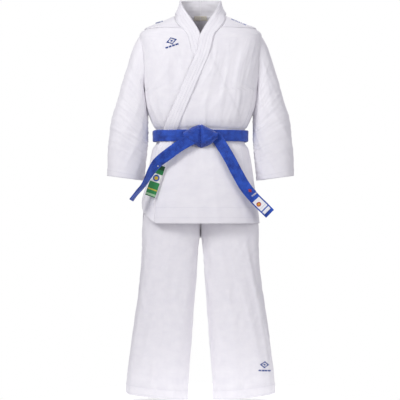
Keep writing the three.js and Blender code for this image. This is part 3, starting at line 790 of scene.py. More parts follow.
def makeBack():
    def angleOf(u, v):
        z = heightAt(v)
        slit = slitAngle(14, z)
        start = np.maximum(math.pi - sideEdge(z), math.pi / 2 + slit)
        return lerp(start, 2 * math.pi - start, u)

    def place(u, v):
        z = heightAt(v)
        return bodyPoint(angleOf(u, v), z, layers["side"])

    def folds(u, v, points):
        z = points[..., 2]
        angle = angleOf(u, v)
        base = 1.1 * gathers(angle, z, 41) + 1.1 * longFolds(angle, z, 41)
        edges = 1 - 0.75 * (bump(u, 0, 0.04) + bump(u, 1, 0.04))
        atBelt, shoulder = heldFlat(z)
        centreSeam = -1.6 * bump(u, 0.5, 0.006) + 0.8 * bump(u, 0.516, 0.01)
        height = notBelow(foldShare["back"] * base * edges * atBelt * shoulder, -5)
        return height + centreSeam + hemRidge(z, hemZ, jacketHem)

    cloth, points, normals = makeCloth("back_cloth", backColumns, jacketRows, place, canvas, folds)
    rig.replaces(cloth, "back_panel_left", "back_panel_right")
    return cloth, points, normals


overCloth, overPoints, overNormals = makeFront(True)
underCloth, underPoints, underNormals = makeFront(False)
backCloth, backPoints, backNormals = makeBack()
print("jacket body made")


# Shoulder yokes, a second layer over each shoulder

def makeYoke(side):
    isOver = side > 0
    low = yokeZ

    def angleOf(u, v):
        z = lerp(low, neckZ - 5, v)
        front = angleAt(seamX(isOver, z) + 3, z)
        back = math.pi - math.radians(0.2)
        return lerp(front, back, u)

    def place(u, v):
        z = lerp(low, neckZ - 5, v)
        angle = angleOf(u, v)
        return bodyPoint(angle, z, frontLayer(isOver, angle, z), side)

    def folds(u, v, points):
        edge = smooth(0, 0.05, v) * smooth(0, 0.02, u)
        return 2.6 + 0.9 * edge + 0.5 * creases(points[..., 0], points[..., 1], 61, 50)

    return makeCloth(f"yoke_cloth_{sideNames[side]}", 90, 34, place, seamCanvas, folds)


# Neck and lapel bands

neckShare = 0.24
bandSize = {"lift": 1.2, "rise": 5.0, "thickness": 4.2, "rows": 5, "across": 22, "along": 190}


def bandEdges(isOver, v):
    turns = np.clip(v / neckShare, 0, 1)
    share = np.clip((v - neckShare) / (1 - neckShare), 0, 1)
    isNeck = v < neckShare
    backAngle = math.pi - math.radians(0.2)
    leadStart = angleAt(leadX(isOver, collarZ - 10), collarZ - 10)
    seamStart = angleAt(seamX(isOver, neckZ), neckZ)
    seamEnd = hemZ + (1 if isOver else 132)
    leadEnd = slitZ + (-6 if isOver else 50)
    seamZ = np.where(isNeck, neckZ + bandSize["rise"], lerp(neckZ, seamEnd, share**1.15)
                     + bandSize["rise"] * (1 - smooth(0, 0.04, share)))
    leadZ = np.where(isNeck, collarZ - 10 * smooth(0, 1, turns),
                     lerp(collarZ - 10, leadEnd, share**1.02))
    seamFlat = lerp(neckZ, seamEnd, share**1.15)
    leadAngle = np.where(isNeck, lerp(backAngle, leadStart, turns),
                         angleAt(leadX(isOver, leadZ), leadZ))
    seamAngle = np.where(isNeck, lerp(backAngle, seamStart, turns),
                         angleAt(seamX(isOver, seamFlat), seamFlat))
    return leadZ, leadAngle, seamZ, seamAngle


def makeBand(side):
    isOver = side > 0

    def place(u, v):
        leadZ, leadAngle, seamZ, seamAngle = bandEdges(isOver, v)
        z = lerp(leadZ, seamZ, u)
        angle = lerp(leadAngle, seamAngle, u)
        return bodyPoint(angle, z, frontLayer(isOver, angle, z) + bandSize["lift"], side)

    def folds(u, v, points):
        rows = 0.55 * np.abs(np.sin(math.pi * bandSize["rows"] * u))
        rolled = -2.2 * (bump(u, 0, 0.05) + bump(u, 1, 0.05))
        z = points[..., 2]
        pull = 1.2 * creases(v * 900, u * 50, 71 + side, 60, 2.0) * (1 - bump(z, beltZ, 40))
        return bandSize["thickness"] + rows + rolled + pull

    name = "over" if isOver else "under"
    band, points, normals = makeCloth(
        f"lapel_{name}", bandSize["across"], bandSize["along"], place, seamCanvas, folds,
        thickness=bandSize["thickness"])
    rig.replaces(band, f"lapel_band_{name}")
    return band, points, normals


bands = {side: makeBand(side) for side in sideNames}
yokes = {side: makeYoke(side) for side in sideNames}
for side, name in sideNames.items():
    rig.replaces(yokes[side][0], f"shoulder_yoke_{name}")
print("yokes and bands made")


# Sleeves

sleeveLines = {
    "outer": [(232, -60), (250, -82), (262, -115), (271, -150), (300, -241), (315, -297), (340, -378),
              (347, -440), (353, -500), (354, -590)],
    "inner": [(213, -268), (199, -330), (197, -378), (197, -440), (205, -540), (213, -608)],
    "depth": [(0, 66), (0.2, 70), (0.55, 74), (1, 66)],
}


def alongLine(corners):
    corners = np.array(corners, float)
    travel = travelAlong(corners)
    share = travel / travel[-1]
    curveX = curveThrough(list(zip(share, corners[:, 0])))
    curveZ = curveThrough(list(zip(share, corners[:, 1])))
    return lambda t: (curveX(t), curveZ(t))


sleeveOuter = alongLine(sleeveLines["outer"])
sleeveInner = alongLine(sleeveLines["inner"])
sleeveDepth = curveThrough(sleeveLines["depth"])


# turns is 0 at the top of the arm, a quarter at the front; t runs from the armhole to the cuff.
def sleevePoint(turns, t, side):
    turn = 2 * math.pi * turns
    topX, topZ = sleeveOuter(t)
    lowX, lowZ = sleeveInner(t)
    high, ahead = np.cos(turn), np.sin(turn)
    reach = roundedReach(high, ahead, 2.3)
    middleX, middleZ = (topX + lowX) / 2, (topZ + lowZ) / 2
    x = middleX + (topX - lowX) / 2 * high * reach
    z = middleZ + (topZ - lowZ) / 2 * high * reach
    y = -sleeveDepth(t) * ahead * reach
    ringZ = armholeMiddle + armholeHalf * 0.99 * np.cos(turn)
    ringY = -armholeDepth(ringZ) * np.clip(np.sin(turn) / 0.09, -1, 1)
    ringX = bodyPoint(angleAtDepth(np.maximum(np.abs(ringY), 1e-3), ringZ), ringZ, 0.5)[..., 0]
    join = smooth(0, 0.16, t)
    x, y, z = lerp(ringX, x, join), lerp(ringY, y, join), lerp(ringZ, z, join)
    return np.stack([side * x, y, z], axis=-1)


sleeveFold = {"length": 560, "round": 430, "drag": 2.0, "fine": 1.2, "elbow": 2.4, "hang": 3.4}


def sleeveFolds(seed):
    def folds(u, v, points):
        length = v * sleeveFold["length"]
        girth = sleeveFold["round"]
        inner = bump(u, 0.5, 0.16)
        drag = roundTube(u, lambda w: creases(girth * w + 0.55 * length, length, seed, 74, 2.6, 0.8))
        fine = roundTube(u, lambda w: creases(
            girth * w + 0.7 * length, length, seed + 2, 36, 3.4, 0.7))
        hang = roundTube(u, lambda w: creases(
            length, girth * w + 0.2 * length, seed + 4, 74, 5.0, 0.7))
        start = smooth(0.0, 0.16, v)
        end = 1 - 0.55 * smooth(0.8, 0.97, v)
        elbow = bump(v, 0.55, 0.22)
        atElbow = (sleeveFold["fine"] + sleeveFold["elbow"] * elbow) * fine * (0.4 + inner)
        height = sleeveFold["drag"] * drag + atElbow + sleeveFold["hang"] * hang
        cuff = 1.2 * smooth(0.923, 0.931, v)
        return foldShare["sleeve"] * height * start * end + cuff
    return folds


def outOfTube(points):
    return points - points.mean(axis=1, keepdims=True)


sleeves = {}
for side, name in sideNames.items():
    cloth, points, normals = makeCloth(
        f"sleeve_cloth_{name}", 130, 150, lambda u, v, s=side: sleevePoint(u, v, s), canvas,
        sleeveFolds(91 if side > 0 else 103), outOfTube, isTube=True)
    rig.replaces(cloth, f"sleeve_{name}", f"underarm_gusset_{name}", f"cuff_{name}")
    sleeves[side] = (cloth, points, normals)
print("sleeves made")


# Trousers: each half is a leg that opens into its side of the seat

legSize = {"nearEnd": 46, "far": 222, "farEnd": 283, "depth": 78, "hemTilt": 0.114, "hem": 40}
waistTopZ = nodeBox("waistband")[0].z
nearAt = curveThrough([
    (waistTopZ, 0.4), (crotchZ + 4, 0.6), (crotchZ - 12, 4.5), (lerp(crotchZ, legEndZ, 0.2), 13),
    (lerp(crotchZ, legEndZ, 0.6), 31), (legEndZ, legSize["nearEnd"]),
])
farAt = curveThrough([(crotchZ - 20, legSize["far"]), (legEndZ, legSize["farEnd"])])
legRows = {"seat": 50, "leg": 130}


# u runs round the leg from its front, outward first; v from the waist to the hem.
def legPoint(u, v, side):
    turn = 2 * math.pi * u
    split = legRows["seat"] / (legRows["seat"] + legRows["leg"])
    tilt = legSize["hemTilt"] * (legSize["farEnd"] - legSize["nearEnd"]) / 2 * (1 + np.sin(turn))
    legShare = np.clip((v - split) / (1 - split), 0, 1)
    seatShare = np.clip(v / split, 0, 1)
    z = np.where(v < split, lerp(waistTopZ, crotchZ, seatShare),
                 lerp(crotchZ, legEndZ + tilt, legShare))
    near = nearAt(z)
    far = farAt(z)
    depth = legSize["depth"] - 5 * bump(z, -1120, 160)
    across, ahead = np.sin(turn), np.cos(turn)
    reach = roundedReach(across, ahead, 2.5)
    legX = (near + far) / 2 + (far - near) / 2 * across * reach
    legY = -depth * ahead * reach
    # In the seat the outer part follows the body and the inner part is a flat wall at the middle.
    outerAngle = np.arctan2(1 + across, ahead)
    body = bodyPoint(outerAngle, z, -9)
    join = smooth(0.55, 1.0, seatShare)
    x = lerp(np.maximum(body[..., 0], 0.8), legX, join)
    y = lerp(body[..., 1], legY, join)
    return np.stack([side * x, y, z], axis=-1)


legFold = {"hang": 4.6, "knee": 1.2, "crotch": 1.5, "round": 620}


def legFolds(seed):
    def folds(u, v, points):
        z = points[..., 2]
        hang = roundTube(u, lambda w: creases(
            z, legFold["round"] * w + 0.12 * z, seed, 105, 6.5, 0.55))
        drag = roundTube(u, lambda w: creases(
            z + 434 * w, legFold["round"] * w - 0.35 * z, seed + 3, 64, 3.4, 0.9))
        fine = roundTube(u, lambda w: creases(
            z + 372 * w, legFold["round"] * w - 0.5 * z, seed + 5, 38, 4.0, 0.7))
        top = smooth(-(crotchZ + 60), -(crotchZ - 60), -z)
        knee = bump(z, -1090, 130)
        crotchPull = bump(z, crotchZ - 40, 70)
        height = legFold["hang"] * hang * top + (1.0 + legFold["knee"] * knee) * drag
        height = height + legFold["crotch"] * crotchPull * fine
        rise = legSize["hemTilt"] * (np.abs(points[..., 0]) - legSize["nearEnd"])
        low = legEndZ + rise + legSize["hem"]
        hem = 1.2 * (1 - smooth(low - 2, low + 2, z))
        wall = smooth(4, 26, np.abs(points[..., 0])) + (1 - smooth(crotchZ - 60, crotchZ - 10, z))
        return foldShare["leg"] * height * np.clip(wall, 0, 1) * (0.35 + 0.65 * top) + hem
    return folds


legs = {}
for side, name in sideNames.items():
    cloth, points, normals = makeCloth(
        f"trouser_cloth_{name}", 150, legRows["seat"] + legRows["leg"],
        lambda u, v, s=side: legPoint(u, v, s), canvas, legFolds(131 if side > 0 else 149),
        outOfTube, isTube=True, drop=lambda c: abs(c.x) < 2.2 and c.z > crotchZ + 6)
    legs[side] = (cloth, points, normals)
    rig.replaces(cloth, f"trouser_leg_{name}", f"leg_hem_{name}")
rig.replaces(legs[1][0], "trouser_seat")
print("trousers made")


waistbandSize = {"below": 4, "height": 42, "layer": -8, "channels": 4, "channel": 1.6, "gather": 1.8}


def waistbandPlace(u, v):
    z = waistTopZ - waistbandSize["below"] + waistbandSize["height"] * v
    return bodyPoint(2 * math.pi * u, z, waistbandSize["layer"])


# The elastic gathers the band between its rows of stitching.
def waistbandFolds(u, v, points):
    gathered = roundTube(u, lambda w: creases(v * 40, w * 1000, 7, 22, 2.0, 0.4))
    channels = np.abs(np.sin(math.pi * waistbandSize["channels"] * v))
    return waistbandSize["channel"] * channels + waistbandSize["gather"] * gathered


waistband, waistbandPoints = makeCloth(
    "waistband_elastic", 220, 14, waistbandPlace, elasticWeb, waistbandFolds, isTube=True,
    thickness=2.5)[:2]
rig.replaces(waistband, "waistband")

# Belt

beltSize = {"width": 2 * beltHalf, "thickness": 3.4, "rows": 8}


# The belt's rows of stitching draw it in, and its two edges are rolled.
def beltWeave(u):
    rolled = -1.4 * (bump(u, 0, 0.05) + bump(u, 1, 0.05))
    return 0.5 * np.abs(np.sin(math.pi * beltSize["rows"] * u)) + rolled


# A turn of the belt: u runs round the waist, v across the belt, and slip lets it hang unevenly.
def makeBeltTurn(name, layer, slip, seed):
    def place(u, v):
        angle = 2 * math.pi * u
        waist = bodyPoint(angle, beltZ + 0 * v, layer + layers["over"])
        waist[..., 2] = beltZ + beltSize["width"] * (v - 0.5) + slip * np.sin(angle + seed)
        return waist

    def folds(u, v, points):
        wave = roundTube(u, lambda w: creases(w * 1000, v * 42, seed, 60, 2.5, 0.6))
        return beltWeave(v) + 0.8 * wave

    return makeCloth(name, 260, 32, place, twill, folds, isTube=True,
                     thickness=beltSize["thickness"])[:2]


beltInner, innerPoints = makeBeltTurn("belt_inner_turn", 6.5, 1.6, 3)
beltOuter, outerPoints = makeBeltTurn("belt_outer_turn", 11.0, 1.2, 5)
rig.replaces(beltInner, "belt_wrap_inner")
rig.replaces(beltOuter, "belt_wrap_outer")

knotLow, knotHigh = nodeBox("belt_knot")
knotFront = {"y": knotHigh.y, "depth": 24, "halfWidth": 64}


# Half of the knot: a folded band that bulges from the middle fold to its outer corner. top and
# bottom give its outline as (share of the width, height above the belt's middle).
def makeKnotHalf(name, side, top, bottom, seed):
    topAt, bottomAt = curveThrough(top), curveThrough(bottom)

    def place(u, v):
        x = knotFront["halfWidth"] * u
        low, high = bottomAt(u), topAt(u)
        z = lerp(low, high, v)
        swell = 0.45 + 0.55 * np.sin(math.pi * np.clip(u * 0.75 + 0.22, 0, 1))
        crown = (1 - np.abs(2 * v - 1) ** 3.2) * swell
        middleFold = -9 * np.exp(-((u / 0.09) ** 2))
        y = knotFront["y"] + 3 - knotFront["depth"] * crown - middleFold
        return np.stack([side * x, y, beltZ + z], axis=-1)

    def folds(u, v, points):
        crease = creases(u * 60 + v * 30, v * 80 - u * 30, seed, 26, 2.0, 0.7)
        return 1.2 * crease + 0.35 * np.abs(np.sin(math.pi * 8 * (v + 0.15 * u)))

    return makeCloth(name, 60, 60, place, twill, folds, forwardOf, thickness=3.2)[:2]


knotRight, knotRightPoints = makeKnotHalf(
    "belt_knot_right_fold", -1, [(0, 40), (0.3, 34), (0.7, 22), (1, 12)],
    [(0, -46), (0.35, -36), (0.7, -26), (1, -14)], 17)
knotLeft, knotLeftPoints = makeKnotHalf(
    "belt_knot_left_fold", 1, [(0, 41), (0.3, 33), (0.7, 20), (1, 10)],
    [(0, -48), (0.35, -42), (0.6, -34), (1, -14)], 29)
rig.replaces(knotLeft, "belt_knot")


# A ribbon along points in the front plane, turned about its own line.
def ribbonPlace(corners, width, twist):
    corners = np.array(corners, float)
    travel = travelAlong(corners)
    share = travel / travel[-1]
    curves = [curveThrough(list(zip(share, corners[:, axis]))) for axis in range(3)]

    def centre(v):
        return np.stack([c(v) for c in curves], axis=-1)

    def place(u, v):
        middle = centre(v)
        along = centre(np.clip(v + 0.02, 0, 1)) - centre(np.clip(v - 0.02, 0, 1))
        along = along / np.linalg.norm(along, axis=-1, keepdims=True)
        forward = np.array([0, -1.0, 0])
        flat = np.cross(along, forward)
        flat = flat / np.linalg.norm(flat, axis=-1, keepdims=True)
        front = np.cross(flat, along)
        turn = twist(v)[..., None]
        across = flat * np.cos(turn) + front * np.sin(turn)
        return middle + across * (width * (u - 0.5))[..., None]

    return place


tailY = knotLow.y + 13
rightTail = [(-14, tailY + 3, -446), (-68, tailY, -475), (-115, tailY - 2, -508),
             (-157, tailY - 3, -541), (-178, tailY - 4, -568), (-193, tailY - 4, -596),
             (-210, tailY - 5, -627), (-237, tailY - 6, -658), (-256, tailY - 6, -684)]
underBelt = -(waistDepth + layers["over"] + 7)
leftTail = [(44, underBelt, -436), (63, underBelt, -454), (82, lerp(underBelt, tailY, 0.7), -484),
            (107, tailY - 2, -526), (134, tailY - 3, -578), (164, tailY - 4, -630),
            (200, tailY - 5, -675), (234, tailY - 6, -709), (258, tailY - 7, -733)]


def tailFolds(seed):
    def folds(u, v, points):
        return 0.6 * beltWeave(u) + 1.4 * creases(v * 350, u * 40, seed, 70, 1.5, 0.6)
    return folds


tailShapes = {
    -1: (rightTail, lambda v: 1.27 * smooth(0.25, 0.85, v), 31),
    1: (leftTail, lambda v: 0.12 * np.sin(6 * v), 37),
}
tails = {}
for side, (line, twist, seed) in tailShapes.items():
    tails[side] = makeCloth(
        f"belt_end_{sideNames[side]}", 32, 150, ribbonPlace(line, beltSize["width"] - 1, twist),
        twill, tailFolds(seed), forwardOf, thickness=4, offset=0)
    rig.replaces(tails[side][0], f"belt_tail_{sideNames[side]}")
print("belt made")

# The seat's centre line, from the waist down the front, under the crotch and up the back.
def seatLine():
    z = np.linspace(waistTopZ, crotchZ - 3, 240)
    join = smooth(0.55, 1, (waistTopZ - z) / (waistTopZ - crotchZ))
    front = bodyPoint(0.0, z, -9)[:, 1] * (1 - join)
    back = bodyPoint(math.pi, z, -9)[:, 1] * (1 - join)
    line = np.stack([np.concatenate([front, back[::-1]]), np.concatenate([z, z[::-1]])], axis=-1)
    travel = travelAlong(line)
    share = travel / travel[-1]
    return lambda v: (np.interp(v, share, line[:, 0]), np.interp(v, share, line[:, 1]))


seatCentre = seatLine()
seatSeam = {"halfWidth": 6, "proud": 1.6}
# first and last are shares of the centre line; tuck and lift shape the far edge.
gusset = {"halfWidth": 38, "first": 0.3, "last": 0.7, "tuck": 0.14, "lift": 12}


def fromSeatMiddle(points):
    return (points - np.array([0, 0, -690.0])) * np.array([0.0, 1.0, 1.0])


def seatSeamPlace(u, v):
    y, z = seatCentre(v)
    grow = 1 + seatSeam["proud"] / 100
    drop = seatSeam["proud"] * (z < crotchZ + 40)
    return np.stack([seatSeam["halfWidth"] * (2 * u - 1), y * grow, z - drop], axis=-1)


centreSeam, seamPoints, seamNormals = makeCloth(
    "seat_centre_seam", 4, 200, seatSeamPlace, seamCanvas,
    lambda u, v, p: 0.5 * np.sin(math.pi * u), fromSeatMiddle)
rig.replaces(centreSeam, "crotch_gusset")


# Half of the crotch gusset, joined to the centre seam and to the inside of one leg.
def makeGusset(side):
    def place(u, v):
        y, z = seatCentre(lerp(gusset["first"], gusset["last"], v))
        x = side * (gusset["halfWidth"] * u - 1)
        return np.stack([x, y * (1 - gusset["tuck"] * u), z + 3 + gusset["lift"] * u], axis=-1)

    return makeCloth(f"crotch_gusset_{sideNames[side]}", 12, 60, place, canvas, None,
                     fromSeatMiddle)[:2]


gussets = {side: makeGusset(side) for side in sideNames}
print("seat seam and gusset made")


# The line on a cloth's grid at a row or a column, which may fall between two.
def gridLine(points, normals, row=None, column=None, first=0.0, last=1.0):
    found = []
    for field in (points, normals):
        if row is not None:
            low = int(np.clip(math.floor(row), 0, field.shape[0] - 2))
            line = lerp(field[low], field[low + 1], row - low)
        else:
            low = int(np.clip(math.floor(column), 0, field.shape[1] - 2))
            line = lerp(field[:, low], field[:, low + 1], column - low)
        found.append(line[int(first * (len(line) - 1)) : int(last * (len(line) - 1)) + 1])
    return found


def jacketRow(z):
    return np.interp(z, rowHeights, np.arange(jacketRows + 1))


# Real stitches are 3 mm long; 5 mm ones with 2.5 mm gaps are drawn so that the rows show.
stitching = {"hemRows": (60, 22), "bandRows": (0.07, 0.29, 0.5, 0.71, 0.93), "yokeRows": (2.5, 6.0),
             "seatColumns": (0.8, 3.2), "cuffRows": (0.936, 0.985), "legRows": (36, 8),
             "outerLeg": (0.25, 0.262), "underarm": (0.37, 0.63), "armhole": 0.03}

bodyLines = []
for points, normals, inset in ((overPoints, overNormals, 0.01), (underPoints, underNormals, 0.01),
                               (backPoints, backNormals, 0.005)):
    for rise in stitching["hemRows"]:
        row = jacketRow(hemZ + rise)
        bodyLines.append(gridLine(points, normals, row=row, first=inset, last=1 - inset))
for side in sideNames:
    for share in stitching["bandRows"]:
        bodyLines.append(gridLine(*bands[side][1:], column=share * bandSize["across"], last=0.98))
    for row in stitching["yokeRows"]:
        bodyLines.append(gridLine(*yokes[side][1:], row=row, first=0.02, last=0.98))
bodyLines.append(gridLine(backPoints, backNormals, column=78, first=0.0, last=0.97))
for column in stitching["seatColumns"]:
    bodyLines.append(gridLine(seamPoints, seamNormals, column=column, first=0.02, last=0.98))
jacketStitches = makeStitches("jacket_stitches", bodyLines, whiteThread)

sleeveStitches, legStitches = {}, {}
for side, name in sideNames.items():
    grid = sleeves[side][1:]
    rows, columns = grid[0].shape[0] - 1, grid[0].shape[1] - 1
    lines = [gridLine(*grid, row=share * rows) for share in stitching["cuffRows"]]
    lines += [gridLine(*grid, column=share * columns, first=0.03) for share in stitching["underarm"]]
    lines.append(gridLine(*grid, row=stitching["armhole"] * rows))
    sleeveStitches[side] = makeStitches(f"sleeve_stitches_{name}", lines, whiteThread)
    grid = legs[side][1:]
    rows, columns = grid[0].shape[0] - 1, grid[0].shape[1] - 1
    split = legRows["seat"] / rows
    perRow = (crotchZ - legEndZ) / legRows["leg"]
    lines = [gridLine(*grid, row=rows - rise / perRow) for rise in stitching["legRows"]]
    lines += [gridLine(*grid, column=share * columns, first=0.02) for share in stitching["outerLeg"]]
    lines.append(gridLine(*grid, column=0.75 * columns, first=split + 0.03))
    legStitches[side] = makeStitches(f"leg_stitches_{name}", lines, whiteThread)
print("stitches made")


# Satin stitch: threads laid side by side across a shape, on the cloth nearest to it.
def satin(bm, points, normals, threads, width=1.5, proud=0.7):
    flatPoints, flatNormals = points.reshape(-1, 3), normals.reshape(-1, 3)
    facing = flatNormals[:, 1] < 0
    flatPoints, flatNormals = flatPoints[facing], flatNormals[facing]
    for x0, z0, x1, z1 in threads:
        ends, ups = [], []
        for x, z in ((x0, z0), (x1, z1)):
            gap = (flatPoints[:, 0] - x) ** 2 + (flatPoints[:, 2] - z) ** 2
            near = np.argsort(gap)[:4]
            share = 1 / (gap[near] + 0.5)
            share = share / share.sum()
            ends.append(np.array([x, (flatPoints[near, 1] * share).sum(), z]))
            ups.append((flatNormals[near] * share[:, None]).sum(axis=0))
        addThread(bm, *ends, Vector(ups[0] + ups[1]).normalized(), width, width, proud)


# A rhombus ring, as threads between its outer and its inner outline.
def rhombusThreads(x, z, halfWidth, halfHeight, inner, tilt, count):
    corners = [(halfWidth, 0), (0, halfHeight), (-halfWidth, 0), (0, -halfHeight), (halfWidth, 0)]
    cosTilt, sinTilt = math.cos(tilt), math.sin(tilt)
    threads = []
    for k in range(count):
        place = 4 * k / count
        side, share = int(place), place - int(place)
        px = lerp(corners[side][0], corners[side + 1][0], share)
        pz = lerp(corners[side][1], corners[side + 1][1], share)
        ends = [(x + f * (px * cosTilt - pz * sinTilt), z + f * (px * sinTilt + pz * cosTilt))
                for f in (1, inner)]
        threads.append((*ends[0], *ends[1]))
    return threads


# A bar of short upright threads, broken by gaps.
def barThreads(x0, z0, x1, z1, height, gaps=(), pitch=1.35):
    run = math.hypot(x1 - x0, z1 - z0)
    count = int(run / pitch)
    upX, upZ = -(z1 - z0) / run * height / 2, (x1 - x0) / run * height / 2
    threads = []
    for k in range(count):
        share = (k + 0.5) / count
        if any(low < share < high for low, high in gaps):
            continue
        x, z = lerp(x0, x1, share), lerp(z0, z1, share)
        threads.append((x - upX, z - upZ, x + upX, z + upZ))
    return threads


embroidery = {
    "chest": {"x": -108, "z": -88, "halfWidth": 22, "halfHeight": 15, "tilt": math.radians(17),
              "bar": (-131, -115, -82, -99, 8)},
    "leg": {"x": 241, "z": -1302, "halfWidth": 19, "halfHeight": 14, "tilt": math.radians(-5),
            "bar": (218, -1322, 264, -1326, 7)},
    "shoulders": {"left": (116, 1, 172, -23, 9), "right": (-170, -13, -142, -5, 9)},
}
gaps = ((0.22, 0.26), (0.46, 0.5), (0.72, 0.76))


def emblem(name, values, points, normals):
    bm = bmesh.new()
    threads = []
    for size, inner, count in ((1, 0.55, 44), (0.3, 0.02, 14)):
        threads += rhombusThreads(values["x"], values["z"], size * values["halfWidth"],
                                  size * values["halfHeight"], inner, values["tilt"], count)
    satin(bm, points, normals, threads + barThreads(*values["bar"], gaps))
    return finishMesh(name, bm, blueThread)


chestEmblem = emblem("chest_embroidery", embroidery["chest"], underPoints, underNormals)
legEmblem = emblem("leg_embroidery", embroidery["leg"], legs[1][1], legs[1][2])
shoulderBars = {}
for side, name in sideNames.items():
    bm = bmesh.new()
    satin(bm, yokes[side][1], yokes[side][2], barThreads(*embroidery["shoulders"][name], gaps))
    shoulderBars[side] = finishMesh(f"shoulder_embroidery_{name}", bm, blueThread)
print("embroidery made")


# A printed or woven strip: bands of colour across its length, and a round mark in one of them.
def bandedStrip(name, length, bandColours, roughness, mark=None, gloss=0.3):
    material, tree, shader = newMaterial(name, Roughness=roughness, Specular_IOR_Level=gloss)
    place = addNode(tree, "ShaderNodeUVMap", uv_map="UVMap").outputs["UV"]
    parts = addNode(tree, "ShaderNodeSeparateXYZ", {"Vector": place})
    share = addNode(tree, "ShaderNodeMath", {0: parts.outputs["Y"], 1: length * toMetres},
                    operation="DIVIDE")
    bands = [(start, linear(colour)) for start, colour in bandColours]
    colourOut = addRamp(tree, share.outputs[0], bands, "CONSTANT")
    if mark:
        x, y, radius, inside, outside = mark
        toMark = addNode(tree, "ShaderNodeMapping", {
            "Vector": place, "Location": (x * toMetres, y * toMetres, 0),
            "Scale": (radius * toMetres, radius * toMetres, 1)}, vector_type="TEXTURE")
        disc = addNode(tree, "ShaderNodeTexGradient", {"Vector": toMark.outputs["Vector"]},
                       gradient_type="SPHERICAL").outputs["Fac"]
        rings = addRamp(tree, disc, [(0, linear(outside)), (0.45, linear(inside))], "CONSTANT")
        isMark = addNode(tree, "ShaderNodeMath", {0: disc, 1: 0.01}, operation="GREATER_THAN")
        # Inputs 6 and 7 and output 2 of a mix node are its colours.
        mixed = addNode(tree, "ShaderNodeMix", data_type="RGBA")
        setInputs(tree, mixed, {"Factor": isMark.outputs[0], 6: colourOut, 7: rings})
        colourOut = mixed.outputs[2]
    fine = addNode(tree, "ShaderNodeTexNoise", {"Vector": place, "Scale": 900.0, "Detail": 2.0})
    relief = addNode(tree, "ShaderNodeBump", {
        "Height": fine.outputs["Fac"], "Strength": 0.25, "Distance": 0.1 * toMetres})
    setInputs(tree, shader, {"Base Color": colourOut, "Normal": relief.outputs["Normal"]})
    return material


# Coated card, printed: flat clean colours with a slight gloss, and a darkest band at its top that is painted shade
# behind the belt's tail.
card = {"width": 38, "length": 122, "tilt": math.radians(19), "fromTop": 6, "fromMiddle": 7.5,
        "curl": 0.7}
cardPaint = bandedStrip("coated card, printed", card["length"], [
    (0.0, "#3C7C50"), (0.03, "#A9D2A3"), (0.09, "#2F8F4E"), (0.2, "#D8C64A"), (0.24, "#2F8F4E"),
    # The last band, at the card's top, is painted shade.
    (0.46, "#EEF0EA"), (0.72, "#1F7F45"), (0.86, "#0E4A2A")],
    0.35, (19, 72, 12.5, "#E8C33A", "#2B57A8"), 0.5)

pinLow, pinHigh = nodeBox("tag_pin")
pin = {"x": (pinLow.x + pinHigh.x) / 2, "z": (pinLow.z + pinHigh.z) / 2, "radius": 1.2, "head": 2.6,
       "headDepth": 1.2, "bevel": 0.25}
tagY = nodeBox("swing_tag")[0].y


def cardPlace(u, v):
    across = card["width"] * (u - 0.5) + card["fromMiddle"]
    down = card["length"] * (1 - v) - card["fromTop"]
    x = pin["x"] - math.sin(card["tilt"]) * down + math.cos(card["tilt"]) * across
    z = pin["z"] - math.cos(card["tilt"]) * down - math.sin(card["tilt"]) * across
    return np.stack([x, tagY + 0.0 * x, z], axis=-1)


swingTag = makeCloth(
    "swing_tag_card", 14, 40, cardPlace, cardPaint,
    lambda u, v, p: -card["curl"] * np.sin(math.pi * u) * smooth(0.1, 0.6, 1 - v), forwardOf,
    thickness=0.8)[0]
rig.replaces(swingTag, "swing_tag")

# Clear moulded polypropylene: a thin glossy pin with a flat head.
clearPlastic, clearTree, clearShader = newMaterial(
    "polypropylene fastener, moulded", Base_Color=linear("#EFF2F0"), Roughness=0.22, IOR=1.49,
    Transmission_Weight=0.35)
mouldPlace = addNode(clearTree, "ShaderNodeTexCoord").outputs["Object"]
mouldMarks = addNode(clearTree, "ShaderNodeTexNoise", {
    "Vector": mouldPlace, "Scale": 700.0, "Detail": 2.0})
mouldRelief = addNode(clearTree, "ShaderNodeBump", {
    "Height": mouldMarks.outputs["Fac"], "Strength": 0.2, "Distance": 0.05 * toMetres})
setInputs(clearTree, clearShader, {"Normal": mouldRelief.outputs["Normal"]})

bm = bmesh.new()
upright = Matrix.Rotation(math.pi / 2, 4, "X")
shaft = pinHigh.y - pinLow.y
for middleY, length, radius in (((pinLow.y + pinHigh.y) / 2, shaft, pin["radius"]),
                                (pinLow.y + pin["headDepth"] / 2, pin["headDepth"], pin["head"])):
    at = Matrix.Translation(Vector((pin["x"], middleY, pin["z"])) * toMetres)
    bmesh.ops.create_cone(
        bm, cap_ends=True, segments=20, radius1=radius * toMetres, radius2=radius * toMetres,
        depth=length * toMetres, matrix=at @ upright)
edges = [e for e in bm.edges if len(e.link_faces) == 2 and e.calc_face_angle() > 1]
bmesh.ops.bevel(bm, geom=edges, offset=pin["bevel"] * toMetres, segments=2, profile=0.5,
                affect="EDGES", material=-1)
tagPin = finishMesh("tag_fastener", bm, clearPlastic)
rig.replaces(tagPin, "tag_pin")
print("swing tag made")


# The woven label is sewn round the end of the left tail: crisp bands of colour with a satin gloss.
beltLabel = {"first": 0.8, "last": 0.955, "inset": 0.1, "proud": 2.6, "length": 62}
labelWeave = bandedStrip("polyester satin label, woven in bands", beltLabel["length"], [
    (0.0, "#EFEFF2"), (0.2, "#F6F6F8"), (0.62, "#D9DDE8"), (0.66, "#F6F6F8"), (0.78, "#3A63B8"),
    (0.84, "#F3F3F6")],
    0.5, (21, 22, 9, "#D8A93A", "#B9323C"))


